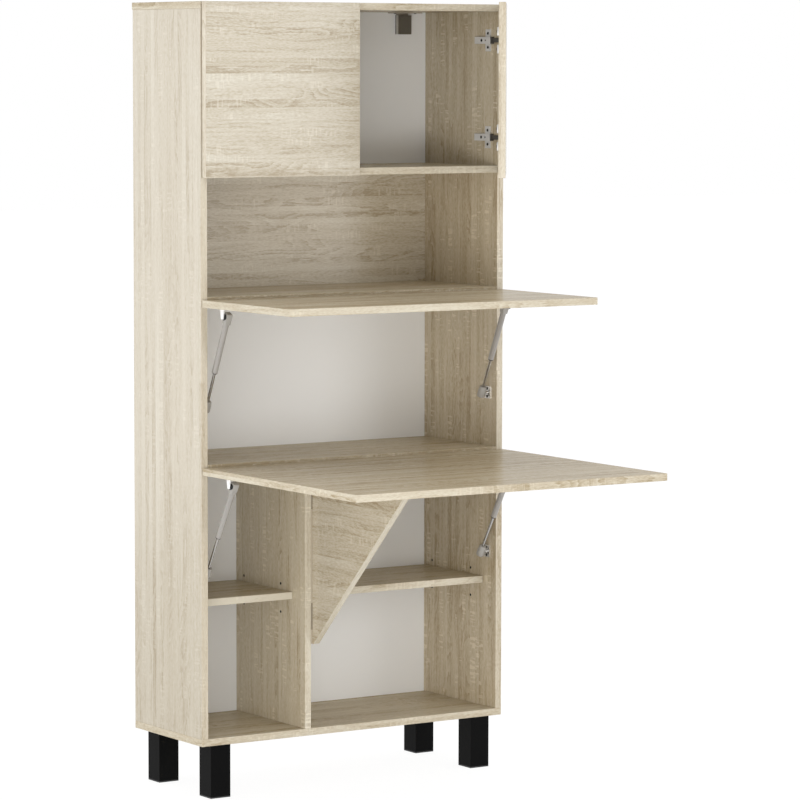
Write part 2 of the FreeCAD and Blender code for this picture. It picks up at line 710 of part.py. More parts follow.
LEAVES = {
    "left_door": ("door_width", "door_height", "door_hinge_z", "0",
                  ("-door_pivot_x", "pivot_y", "door_middle"), LEFT_DOOR_TURN),
    "right_door": ("door_width", "door_height", "door_hinge_z", "right_door_angle",
                   ("door_pivot_x", "pivot_y", "door_middle"), RIGHT_DOOR_TURN),
    "upper_flap": ("upper_flap_depth", "flap_width", "flap_hinge_x", "flap_angle",
                   ("0", "pivot_y", "middle_top - flap_pivot_drop"), FLAP_TURN),
    "lower_flap": ("lower_flap_depth", "flap_width", "flap_hinge_x", "flap_angle",
                   ("0", "pivot_y", "desk_top - flap_pivot_drop"), FLAP_TURN),
}
for name, (length, span, hinge_z, angle, place, turn) in LEAVES.items():
    labels = (name, name + "_hinge_cups", name + "_hinge_pins")
    for label, piece in zip(labels, leaf_pieces(name, length, span, hinge_z)):
        node(label, moved(label + "_hung", opened(label + "_opened", piece, angle), place, turn))
    if name.endswith("flap"):
        flap = name.split("_")[0]
        brackets = [strut_bracket("%s_%s_bracket" % (name, side), flap + "_strut_reach", sign)
                    for side, sign in SIDES.items()]
        label = flap + "_strut_brackets"
        bracket_set = group(label + "_set", brackets)
        node(label, moved(label + "_hung", opened(label + "_opened", bracket_set, angle), place, turn))


# Gas struts, drawn upright from the ball on the side to the pivot under the flap, then leaned out
def strut_pieces(name, sign, length):
    neck_x = "0" if sign > 0 else "-socket_radius - overrun"
    neck_length = "socket_radius + overrun"
    neck = round_bar(name + "_neck_slot", "neck_radius + neck_play", neck_length, (neck_x, "0", "0"), "X")
    seat = ball(name + "_seat", "ball_radius + fit", ("0", "0", "0"))
    barrel_length = "socket_tail + socket_nose"
    barrel = round_bar(name + "_socket_barrel", "socket_radius", barrel_length, ("0", "0", "-socket_tail"))
    front_z = length + " - cylinder_reach"
    rod_foot = "socket_nose - rod_grip"
    rod_length = front_z + " + rod_insertion - (" + rod_foot + ")"
    rod_bar = round_bar(name + "_rod_bar", "rod_radius", rod_length, ("0", "0", rod_foot))
    piston_at = ("0", "0", front_z + " + rod_insertion - piston")
    piston = round_bar(name + "_piston", "cylinder_bore - piston_play", "piston", piston_at)
    top_z = length + " - cylinder_neck"
    tube_length = "cylinder_reach - cylinder_neck"
    tube = round_bar(name + "_tube", "cylinder_radius", tube_length, ("0", "0", front_z))
    bore_length = tube_length + " - cylinder_guide - cylinder_cap"
    bore_at = ("0", "0", front_z + " + cylinder_guide")
    bore = round_bar(name + "_bore", "cylinder_bore", bore_length, bore_at)
    guide_at = ("0", "0", front_z + " - overrun")
    guide = round_bar(name + "_guide", "rod_radius + fit", "cylinder_guide + 2*overrun", guide_at)
    eye = fused(name + "_eye", [
        round_bar(name + "_eye_neck", "socket_radius", "cylinder_neck", ("0", "0", top_z)),
        round_bar(name + "_eye_barrel", "socket_radius", "2*socket_radius",
                  ("-socket_radius", "0", length), "X")])
    bored_tube = less(name + "_tube_bored", tube, [bore, guide])
    return {"socket": less(name + "_socket_cut", barrel, [seat, neck, rod_bar]),
            "rod": fused(name + "_rod_solid", [rod_bar, piston]),
            "cylinder": group(name + "_cylinder_set", [bored_tube, eye])}


for flap, shelf_top in STRUT_SHELVES.items():
    run = "(stud_back + %s_strut_reach)" % flap
    length = "sqrt(%s*%s + strut_rise*strut_rise)" % (run, run)
    for side, sign in SIDES.items():
        stem = "%s_%s_strut" % (flap, side)
        place = ("%d*strut_x" % sign, "front + stud_back", shelf_top + " - stud_drop")
        for kind, piece in strut_pieces(stem, sign, length).items():
            leaned = moved("%s_%s_leaned" % (stem, kind), piece, place, 1, (1, 0, 0))
            bind(leaned, **{"Placement.Rotation.Angle": "atan(%s/strut_rise)" % run})
            node("%s_%s" % (stem, kind), leaned)

# Support gusset: a triangle that swings on two butt hinges at the divider's front edge
back_y = "-gusset_back"
nose_y = "-gusset_setback - gusset_reach"
heel_y = "-gusset_setback - pivot_out"
gusset_outline = [(back_y, "gusset_bottom"), (back_y, "gusset_top - gusset_heel"),
                  (heel_y, "gusset_top"),
                  (nose_y, "gusset_top"), (nose_y, "gusset_top - gusset_nose"),
                  (back_y + " - gusset_tip", "gusset_bottom")]
gusset_board = prism("gusset_board", "YZ", gusset_outline, "board", rounded=True)
node("support_gusset", set_at(gusset_board, ("gusset_axis_x", "gusset_axis_y", "0")))

# Every object recomputes soundly and every sub-part is a valid solid before any file is written
doc.recompute()
for thing in doc.Objects:
    if {"Invalid", "Error"} & set(thing.State):
        raise RuntimeError("recompute failed: " + thing.Name)
os.makedirs("parts", exist_ok=True)
for piece in NODES:
    shape = piece.Shape
    if shape.isNull() or not shape.isValid() or not shape.Solids or shape.Volume <= 0:
        raise RuntimeError("unsound sub-part: " + piece.Label)
for piece in NODES:
    piece.Shape.exportStep(os.path.join("parts", piece.Label + ".step"))
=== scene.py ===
import json
import math

import bmesh
import bpy
from bpy.props import FloatProperty, FloatVectorProperty, IntProperty, PointerProperty
from bpy.types import Operator, Panel, PropertyGroup
from mathutils import Matrix, Vector


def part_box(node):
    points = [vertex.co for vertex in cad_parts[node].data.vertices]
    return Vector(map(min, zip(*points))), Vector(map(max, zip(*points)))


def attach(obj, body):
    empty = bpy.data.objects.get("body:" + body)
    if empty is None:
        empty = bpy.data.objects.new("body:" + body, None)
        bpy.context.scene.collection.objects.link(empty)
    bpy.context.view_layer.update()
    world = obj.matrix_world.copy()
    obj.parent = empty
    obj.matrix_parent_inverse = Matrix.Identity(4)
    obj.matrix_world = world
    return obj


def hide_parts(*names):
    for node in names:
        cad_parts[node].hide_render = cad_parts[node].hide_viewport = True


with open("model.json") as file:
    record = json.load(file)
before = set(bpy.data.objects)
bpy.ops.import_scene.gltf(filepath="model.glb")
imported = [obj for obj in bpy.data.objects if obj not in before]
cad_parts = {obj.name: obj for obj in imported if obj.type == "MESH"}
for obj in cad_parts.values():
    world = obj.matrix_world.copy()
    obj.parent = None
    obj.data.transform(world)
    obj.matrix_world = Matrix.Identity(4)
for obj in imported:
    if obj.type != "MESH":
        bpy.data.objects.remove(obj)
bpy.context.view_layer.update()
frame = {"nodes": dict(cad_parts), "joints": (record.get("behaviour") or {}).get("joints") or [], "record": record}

bl_info = {
    "name": "Fold Down Desk Cabinet",
    "version": (1, 0, 0),
    "blender": (4, 5, 0),
    "location": "View3D > Sidebar > Desk Cabinet",
    "description": "Dresses the desk cabinet's frame with its finishes, small fittings and studio",
    "category": "Object",
}

JOINTS = {joint["name"]: joint for joint in frame["joints"]}
NODE_BODY = {node: body for body, nodes in frame["record"]["behaviour"]["bodies"].items()
             for node in nodes}

# Boards: the axis that the grain follows, the axis across it, and the axis through the board
UPRIGHT = ("Z", "Y", "X")
LEVEL = ("X", "Y", "Z")
FACING = ("X", "Z", "Y")
FIN = ("Y", "Z", "X")
OAK_BOARDS = {
    "left_side": UPRIGHT, "right_side": UPRIGHT, "divider": UPRIGHT,
    "top_panel": LEVEL, "bottom_panel": LEVEL, "cupboard_floor": LEVEL, "middle_shelf": LEVEL,
    "desk_shelf": LEVEL, "left_lower_shelf": LEVEL, "right_lower_shelf": LEVEL,
    "upper_flap": LEVEL, "lower_flap": LEVEL,
    "left_door": FACING, "right_door": FACING,
    "support_gusset": FIN, "niche_back": FACING,
}
SHELVES = ("bottom_panel", "cupboard_floor", "middle_shelf", "desk_shelf",
           "left_lower_shelf", "right_lower_shelf")
# Boards whose faces take a warm tint of painted shade inside the cabinet, and a cool tint of painted sheen outside
# it
PAINTED_SHADE_BOARDS = ("right_side", "divider", "upper_flap", "lower_flap", *SHELVES)
PAINTED_SHEEN_BOARDS = ("left_side", "left_door", "right_door")
# Shelves and the divider, whose faces are painted paler as painted light
PAINTED_LIGHT_BOARDS = ("divider", *SHELVES)
INNER_BOARDS = ("right_side", "divider")
# The outer left side, whose grain is calmed as painted sheen of the white surround at a grazing angle
SHEEN_CALMED_BOARD = "left_side"
# Painted light and shade on board edges: the lower shelves, flaps, gusset and divider get paler edges as painted
# light, and the shelf edges behind the flaps get darker ones as painted shade
PAINTED_EDGE_LIGHT = {
    "middle_shelf": "gap_painted_edge_shade", "desk_shelf": "gap_painted_edge_shade",
    "left_lower_shelf": "shelf_painted_edge_light", "right_lower_shelf": "shelf_painted_edge_light",
    "divider": "flap_painted_edge_light", "support_gusset": "flap_painted_edge_light",
    "upper_flap": "flap_painted_edge_light", "lower_flap": "flap_painted_edge_light",
}
WHITE_BACKS = ("cupboard_back", "middle_back", "lower_back")
STRUTS = [flap + "_" + side + "_strut" for flap in ("upper", "lower") for side in ("left", "right")]
LEAF_JOINTS = {"left_door": "left_door_swing", "right_door": "right_door_swing",
               "upper_flap": "upper_flap_fold", "lower_flap": "lower_flap_lift"}

# Printed grain: repeats per metre along and across the fibres and from layer to layer, the noise's
# detail and roughness, and for a mark with borders the levels of the noise where it begins and is full
GRAIN = {
    "figure": ((3.2, 11.0, 1.0), 1.5, 0.45, None),
    "band": ((1.3, 17.0, 1.0), 2.0, 0.5, None),
    "line": ((5.0, 170.0, 1.0), 3.0, 0.6, None),
    "fibre": ((26.0, 340.0, 1.0), 2.0, 0.6, None),
    "fleck": ((110.0, 480.0, 1.0), 1.0, 0.5, None),
    "streak": ((3.5, 120.0, 1.0), 2.0, 0.5, (0.56, 0.70)),
    "flame": ((2.1, 8.0, 3.0), 1.0, 0.5, (0.50, 0.61)),
    "saw_mark": ((180.0, 20.0, 1.0), 1.0, 0.5, (0.53, 0.62)),
    "saw_patch": ((8.0, 12.0, 1.0), 1.0, 0.5, (0.57, 0.63)),
}
BENT_LAYERS = ("band", "line", "fibre", "fleck", "streak")
STRAIGHT_LAYERS = ("flame", "saw_mark", "saw_patch")

# Tone of the print: its middle, how far each layer spreads it, what rings and streaks take from it,
# the tone that the board with painted sheen is calmed towards, and the tones of the three grain colours
BASE_TONE = 0.575
TONE_SPREADS = {"band": 0.85, "line": 0.70, "fibre": 0.45, "fleck": 0.95, "stave": 0.14}
RING_TONE = -0.44
STREAK_TONE = -0.19
SHEEN_CALM_TONE = 0.55
GRAIN_TONES = (0.05, 0.50, 0.95)
RING_SHARPNESS = 1.4
LINE_WOBBLE = 0.04
FIBRE_WOBBLE = 0.03

# Staves: their offset from board to board, how uneven they are, and how far each shifts its grain
STAVE_OFFSET = 7.31
STAVE_RANDOMNESS = 0.85
STAVE_SHIFT = 9.0
STAVE_LAYERS = 5.0

# A face belongs to an edge or to the rear where its normal points that way by more than this
EDGE_NORMAL = 0.7
REAR_NORMAL = 0.5

# Finishes: repeats per metre of each noise, and how far it moves the roughness or the colour
FACE_SPREAD = 0.12
BRUSHING = (90.0, 90.0, 900.0)
BRUSH_SPREAD = 0.16
HAZE_SCALE = 55.0
HAZE_MIDDLE = 0.5
HAZE_SPREAD = 0.12
HAZE_SHADE = 0.75
CLOUD_SCALE = 14.0
PEEL_SPREAD = 0.2
BACK_PEEL_SCALE = 420.0
BACK_CLOUD_SCALE = 5.0
BACK_SHADE = 0.96
BACK_ROUGHNESS = 0.40
BACK_RELIEF = 0.00005
FLUFF_SCALE = 240.0
FLUFF_SHADES = ((0.25, 0.6), (0.75, 1.35))
BARE_ROUGHNESS = 0.75
WHITE = (1.0, 1.0, 1.0, 1.0)

# Meshes: how close corners are one or lie in one plane, the digits of a length in micrometres, the
# fold up to which faces are shaded smooth, and the faces across a rounded edge
WELD = 1e-6
SAME_PLACE = 1e-5
MICROMETRE_DIGITS = 6
SHARP_ANGLE = math.radians(35.0)
ROUNDING_STEPS = 3

# Screws: the head's outline in shares of its radius and height, the cross in shares of the radius,
# its floor in shares of the cross and the height, the shank's end in shares of the shank, and the
# height of an arm's screw as a share of its recess
HEAD_OUTLINE = ((1.0, 0.0), (1.0, 0.35), (0.93, 0.72), (0.80, 0.93), (0.66, 1.0))
CROSS_WIDTH = 0.13
CROSS_REACH = 0.52
CROSS_FLOOR = 0.7
CROSS_LEVEL = 0.25
SHANK_TAPER = 0.85
SHANK_TIP = 0.15
ARM_SCREW_HEIGHT = 1.15

# Turned pieces: outlines in shares of their radius and height
SEAL_OUTLINE = ((1.15, -1.0), (1.25, -0.6), (1.3, 0.0))
SOCKET_FOOT = ((0.72, 1.0), (0.92, 0.92), (1.0, 0.7))
SOCKET_NECK = ((1.0, 0.3), (0.92, 0.55), (0.88, 0.9), (0.8, 1.0))
SOCKET_MOUTH = 1.2
PIVOT_OUTLINE = ((0.8, 0.0), (1.0, 0.12), (1.0, 0.4), (0.75, 0.5), (0.75, 0.8), (0.9, 0.9), (0.85, 1.0))
SLEEVE_WALL = 0.4
SLEEVE_FLOOR = 0.6
SLEEVE_HOLLOW = 0.8

# Blocks: where they begin and end, their roundings and their feet, in shares of the piece's own sizes
CAP_HEAD_START = 0.4
CAP_HEAD_SOFT = 0.2
CAP_NECK_END = 0.3
CAP_NECK_WIDTH = 0.98
CAP_NECK_SOFT = 0.14
CAP_NECK_FOOT = 0.94
TAB_FOOT_SOFT = 0.3
TAB_BLADE_SOFT = 0.2
TRIM_SOFT = 0.3
STRIP_SOFT = 0.2
STRIP_LAP = 0.5
STRIP_FLANGE = 0.6
STRIP_FLANGE_SOFT = 0.15

# Softboxes: where each one stands, its width and its height; its power is among the studio settings
LIT_MIDDLE = (0.0, 0.0, 0.9)
SOFTBOXES = {
    "front_softbox": ((2.8, -4.2, 1.5), 2.2, 2.8),
    "camera_softbox": ((-3.4, -4.2, 0.52), 4.0, 1.0),
    "left_softbox": ((-5.3, -0.8, 0.52), 3.0, 1.0),
    "side_softbox": ((-3.05, 4.3, 1.25), 2.2, 2.6),
}


def tint(name, description, colour):
    return FloatVectorProperty(name=name, description=description, default=colour, subtype="COLOR",
                               size=3, min=0.0, max=1.0)


def number(name, description, value, **settings):
    return FloatProperty(name=name, description=description, default=value, **settings)


def length(name, description, metres):
    return number(name, description, metres, unit="LENGTH", precision=4)


def share(name, description, value):
    return number(name, description, value, subtype="FACTOR", min=0.0, max=1.0)


def angle(name, description, degrees):
    return number(name, description, math.radians(degrees), subtype="ANGLE")


def power(name, description, watts):
    return number(name, description, watts, unit="POWER")


class OakFinish(PropertyGroup):
    """The printed oak of the boards."""
    deep: tint("Deep", "Colour of the darkest grain lines", (0.36, 0.29, 0.188))
    middle: tint("Middle", "Main colour of the boards", (0.515, 0.448, 0.336))
    pale: tint("Pale", "Colour of the pale bands", (0.62, 0.57, 0.462))
    chalk: tint("Chalk", "Colour of the saw marks", (0.84, 0.78, 0.65))
    inner_marks: share("Inner marks", "Strength of the saw marks on the right side and the divider", 0.40)
    outer_marks: share("Outer marks", "Strength of the saw marks on the other boards", 0.21)
    # Painted shade: a warmer, darker tint that stands for the shade inside the cabinet
    painted_shade_tint: tint("Warmth", "Tint of the boards inside the cabinet", (0.985, 0.95, 0.885))
    # Painted sheen: a cooler, paler-looking tint that stands for the white sheen on the doors and the outer side
    painted_sheen_tint: tint("Coolness", "Tint of the doors and the outer side", (0.94, 0.955, 0.985))
    # Painted light: paler faces that stand for light falling on the shelves and the divider
    painted_face_light: number("Face lift", "How much paler the shelves and the divider are", 0.22)
    edge_lift: number("Edge lift", "How much paler the edge bands are", 0.02)
    # Painted light on the lower shelves' edges
    shelf_painted_edge_light: number("Shelf edge lift", "The same for the lower shelves", 0.42)
    # Painted light on the edges of the flaps, the gusset and the divider
    flap_painted_edge_light: number("Flap edge lift", "The same for the flaps, the gusset and the divider", 0.18)
    # Painted shade: this negative lift darkens the shelf edges that lie in the flaps' shade
    gap_painted_edge_shade: number("Gap edge lift", "The same for the shelf edges behind the flaps", -0.42)
    stave: length("Stave", "Usual width of one printed stave", 0.085)
    bend: length("Bend", "How far the fibres bend round a flame", 0.05)
    contours: number("Contours", "Grain lines across one flame", 17.0)
    roughness: share("Roughness", "Roughness of the melamine face", 0.23)
    # Painted sheen: the lower contrast stands for the white surround reflected at a grazing angle
    sheen_calm: share("Calm", "Contrast of the outer left side's grain, as a share of the others'", 0.6)
    shine: share("Shine", "Specular level of the upright boards", 0.5)
    level_shine: share("Level shine", "Specular level of the level boards, which are matt", 0.01)
    relief: length("Relief", "Depth of the pressed grain", 0.00006)


class FittingFinish(PropertyGroup):
    """Colours of the metal and plastic fittings."""
    nickel: tint("Nickel", "Plated hinges and plates", (0.80, 0.785, 0.76))
    bronze: tint("Bronze", "Dark plating of the hinge knuckles", (0.09, 0.083, 0.072))
    # Partly painted shade: the butt hinges' dull brass is also the brown of the shadow line in the gap beside the
    # divider
    brass_and_gap_shade: tint("Brass", "Dull brass of the gusset's butt hinges", (0.30, 0.25, 0.18))
    # Painted shade: the strip's brown stands for the soft shadow line in the gap beside the divider
    strip: tint("Strip", "Brown of the strip along the gusset's hinge edge", (0.50, 0.43, 0.33))
    black_oxide: tint("Black oxide", "Black of the adjusting screws", (0.012, 0.012, 0.012))
    chrome: tint("Chrome", "Polished strut rods", (0.50, 0.485, 0.465))
    strut: tint("Strut", "Grey of the strut tubes", (0.33, 0.312, 0.29))
    socket: tint("Socket", "Grey of the strut end sockets", (0.345, 0.33, 0.305))
    tab: tint("Tab", "White of the strut brackets", (0.86, 0.86, 0.86))
    leg: tint("Leg", "Black of the legs", (0.0035, 0.0035, 0.0035))
    glide: tint("Glide", "Black of the floor glides", (0.01, 0.01, 0.01))
    cover: tint("Cover", "Brown of the wall bracket covers", (0.115, 0.104, 0.082))
    strap: tint("Strap", "Brown of the wall straps", (0.40, 0.35, 0.28))
    # Painted light: the side plates' pale grey stands for light falling on the covers' sides
    lit_side_plate: tint("Trim", "Grey of the wall covers' side plates", (0.50, 0.47, 0.42))
    screw: tint("Screw", "Dark plating of the screws", (0.07, 0.066, 0.06))
    beech: tint("Beech", "Colour of the dowels", (0.55, 0.38, 0.22))
    back: tint("Back", "White of the painted back sheets", (0.885, 0.885, 0.875))
    hardboard: tint("Hardboard", "Brown of the bare rear of the back sheets", (0.21, 0.135, 0.075))


class FittingSizes(PropertyGroup):
    """Sizes of the small fittings that are added to the frame."""
    screw_sides: IntProperty(name="Screw sides", description="Corners of a round screw head", default=28)
    cup_screw: length("Cup screw", "Radius of the screws in the cup flanges", 0.0034)
    cup_screw_height: length("Cup screw height", "Height of those screws' heads", 0.0012)
    ear_width: length("Ear width", "Width of the raised ears of a cup flange", 0.0112)
    ear_length: length("Ear length", "Length of the raised ears of a cup flange", 0.0198)
    ear_height: length("Ear height", "Height of the raised ears of a cup flange", 0.0048)
    ear_soft: length("Ear soft", "Rounding of the raised ears of a cup flange", 0.0013)
    ear_sink: length("Ear sink", "How deep those ears sit in their flange", 0.0003)
    knuckle_place: length("Knuckle place", "Where the dark knuckles of the hinge arms begin", -0.131)
    arm_screw: length("Arm screw", "Radius of the large adjusting screw in a hinge arm", 0.0043)
    small_arm_screw: length("Small arm screw", "Radius of the small adjusting screw in a hinge arm", 0.0018)
    arm_recess: length("Arm recess", "Depth of the recesses that these screws sit in", 0.0025)
    arm_screw_places: FloatVectorProperty(
        name="Arm screw places", description="From an arm's inner end to its large and its small screw",
        size=2, default=(0.0275, 0.0435), unit="LENGTH")
    seal_lip: length("Seal lip", "Reach of the rod seal out of the tube", 0.0022)
    cap_above: length("Cap above", "From a strut's upper pivot to the end of its cap", 0.0085)
    cap_below: length("Cap below", "From a strut's upper pivot to the foot of its cap", 0.0175)
    cap_width: length("Cap width", "Width of a strut's end cap", 0.0142)
    cap_depth: length("Cap depth", "Depth of a strut's end cap", 0.0152)
    socket: length("Socket", "Radius of a strut's lower socket", 0.0094)
    socket_above: length("Socket above", "From a strut's lower ball to the top of its socket", 0.0155)
    socket_below: length("Socket below", "From a strut's lower ball to the foot of its socket", 0.0105)
    tab_blade: length("Tab blade", "Thickness of a strut bracket's blade", 0.0044)
    tab_top: length("Tab top", "Width of that blade at the flap", 0.013)
    tab_tip: length("Tab tip", "Width of that blade at its tip", 0.008)
    tab_foot: length("Tab foot", "Thickness of a strut bracket's foot", 0.0018)
    pivot: length("Pivot", "Radius of the dark pivot between a bracket and its strut", 0.0072)
    trim_depth: length("Trim depth", "Depth of the wall covers' side plates", 0.0085)
    trim_sheet: length("Trim sheet", "Thickness of the wall covers' side plates", 0.0008)
    strip_sheet: length("Strip sheet", "Thickness of the strip along the gusset's hinge edge", 0.0012)
    strip_gap: length("Strip gap", "Room between that strip and the divider", 0.0004)
    peg_pitch: length("Peg pitch", "Distance between the holes of a peg row", 0.032)
    sleeve_rim: length("Sleeve rim", "Outer radius of the sleeves in the empty peg holes", 0.0031)
    sleeve_bore: length("Sleeve bore", "Inner radius of those sleeves", 0.0019)
    sleeve_depth: length("Sleeve depth", "Depth of those sleeves", 0.005)
    sleeve_edge: length("Sleeve edge", "Height of those sleeves at their outer radius", 0.00025)
    sleeve_lip: length("Sleeve lip", "Height of those sleeves at their inner radius", 0.0004)


class StudioSettings(PropertyGroup):
    """Camera and light."""
    camera_place: FloatVectorProperty(
        name="Camera place", description="Where the camera stands", size=3,
        default=(-4.6531, -7.4440, 1.6255), subtype="TRANSLATION", unit="LENGTH")
    azimuth: angle("Azimuth", "Turn of the camera about the upright axis", -33.194)
    elevation: angle("Elevation", "How far the camera looks down", 4.995)
    roll: angle("Roll", "Tilt of the camera about its own axis", 0.1137)
    lens: number("Lens", "Focal length in millimetres", 174.32, unit="CAMERA")
    sensor: number("Sensor", "Width of the square sensor in millimetres", 36.0, unit="CAMERA")
    camera_reach: length("Camera reach", "How far the camera sees", 200.0)
    ambient: number("Ambient", "Light from all round", 0.92)
    front_softbox: power("Front softbox", "Power of the softbox at the right front", 36.0)
    camera_softbox: power("Camera softbox", "Power of the softbox beside the camera", 97.0)
    side_softbox: power("Side softbox", "Power of the softbox at the left rear", 22.0)
    left_softbox: power("Left softbox", "Power of the low softbox at the left", 22.0)
    floor_size: length("Floor size", "Side of the floor sheet", 60.0)
    floor_white: tint("Floor white", "Colour of the floor sheet", (0.92, 0.92, 0.92))
    floor_roughness: share("Floor roughness", "Roughness of the floor sheet", 0.9)
    floor_glow: number("Floor glow", "White of the floor to the camera", 1.06)
    shadow_share: share("Shadow", "How much of the floor's own shade shows to the camera", 0.12)


def shaded(colour, factor=1.0):
    """A colour for a socket, darkened or paled by a factor."""
    return (*[min(1.0, factor * part) for part in colour], 1.0)


class Finish:
    """A new material around one Principled shader, with a short call for each kind of node."""

    def __init__(self, name):
        self.material = bpy.data.materials.new(name)
        self.material.use_nodes = True
        self.tree = self.material.node_tree
        self.tree.nodes.clear()
        self.output = self.tree.nodes.new("ShaderNodeOutputMaterial")
        self.shader = self.tree.nodes.new("ShaderNodeBsdfPrincipled")
        self.tree.links.new(self.shader.outputs["BSDF"], self.output.inputs["Surface"])
        self.place = self.tree.nodes.new("ShaderNodeTexCoord")

    def feed(self, socket, value):
        """Link a socket to an output, or set it to a constant."""
        if isinstance(value, bpy.types.NodeSocket):
            self.tree.links.new(value, socket)
        elif value is not None:
            socket.default_value = value

    def node(self, kind, inputs=(), **settings):
        made = self.tree.nodes.new("ShaderNode" + kind)
        for name, value in settings.items():
            setattr(made, name, value)
        for name, value in dict(inputs).items():
            self.feed(made.inputs[name], value)
        return made

    def math(self, operation, one, other=0.5, third=None):
        return self.node("Math", {0: one, 1: other, 2: third}, operation=operation).outputs[0]

    def mix(self, factor, one, other):
        made = self.node("Mix", data_type="FLOAT")
        for socket, value in zip((made.inputs[0], made.inputs[2], made.inputs[3]), (factor, one, other)):
            self.feed(socket, value)
        return made.outputs[0]

    def blend(self, factor, one, other):
        made = self.node("Mix", data_type="RGBA")
        for socket, value in zip((made.inputs[0], made.inputs[6], made.inputs[7]), (factor, one, other)):
            self.feed(socket, value)
        return made.outputs[2]

    def vector(self, x, y, z):
        return self.node("CombineXYZ", {"X": x, "Y": y, "Z": z}).outputs[0]

    def scaled(self, vector, factors):
        return self.node("VectorMath", {0: vector, 1: factors}, operation="MULTIPLY").outputs[0]

    def noise(self, vector, scale=1.0, detail=2.0, roughness=0.5):
        inputs = {"Vector": vector, "Scale": scale, "Detail": detail, "Roughness": roughness}
        return self.node("TexNoise", inputs).outputs[0]

    def above(self, value, low, high):
        """A soft step from 0 at low to 1 at high."""
        inputs = {"Value": value, "From Min": low, "From Max": high}
        return self.node("MapRange", inputs, interpolation_type="SMOOTHSTEP").outputs[0]

    def uneven(self, layer, spread, middle=0.0):
        """A value that a layer of noise spreads about its middle."""
        return self.math("MULTIPLY_ADD", layer, spread, middle - spread / 2.0)

    def ramp(self, factor, stops):
        made = self.node("ValToRGB", {"Fac": factor})
        band = made.color_ramp
        while len(band.elements) < len(stops):
            band.elements.new(0.5)
        for element, (position, colour) in zip(band.elements, stops):
            element.position = position
            element.color = colour
        return made.outputs[0]

    def bump(self, height, depth):
        made = self.node("Bump", {"Height": height, "Distance": depth, "Strength": 1.0})
        self.feed(self.shader.inputs["Normal"], made.outputs[0])

    def finish(self, **sockets):
        for name, value in sockets.items():
            self.feed(self.shader.inputs[name.replace("_", " ").title().replace("Ior", "IOR")], value)
        return self.material


def grain_layer(wood, name, fibres):
    """One layer of the printed grain."""
    repeats, detail, roughness, borders = GRAIN[name]
    layer = wood.noise(wood.scaled(fibres, repeats), detail=detail, roughness=roughness)
    return wood.above(layer, *borders) if borders else layer


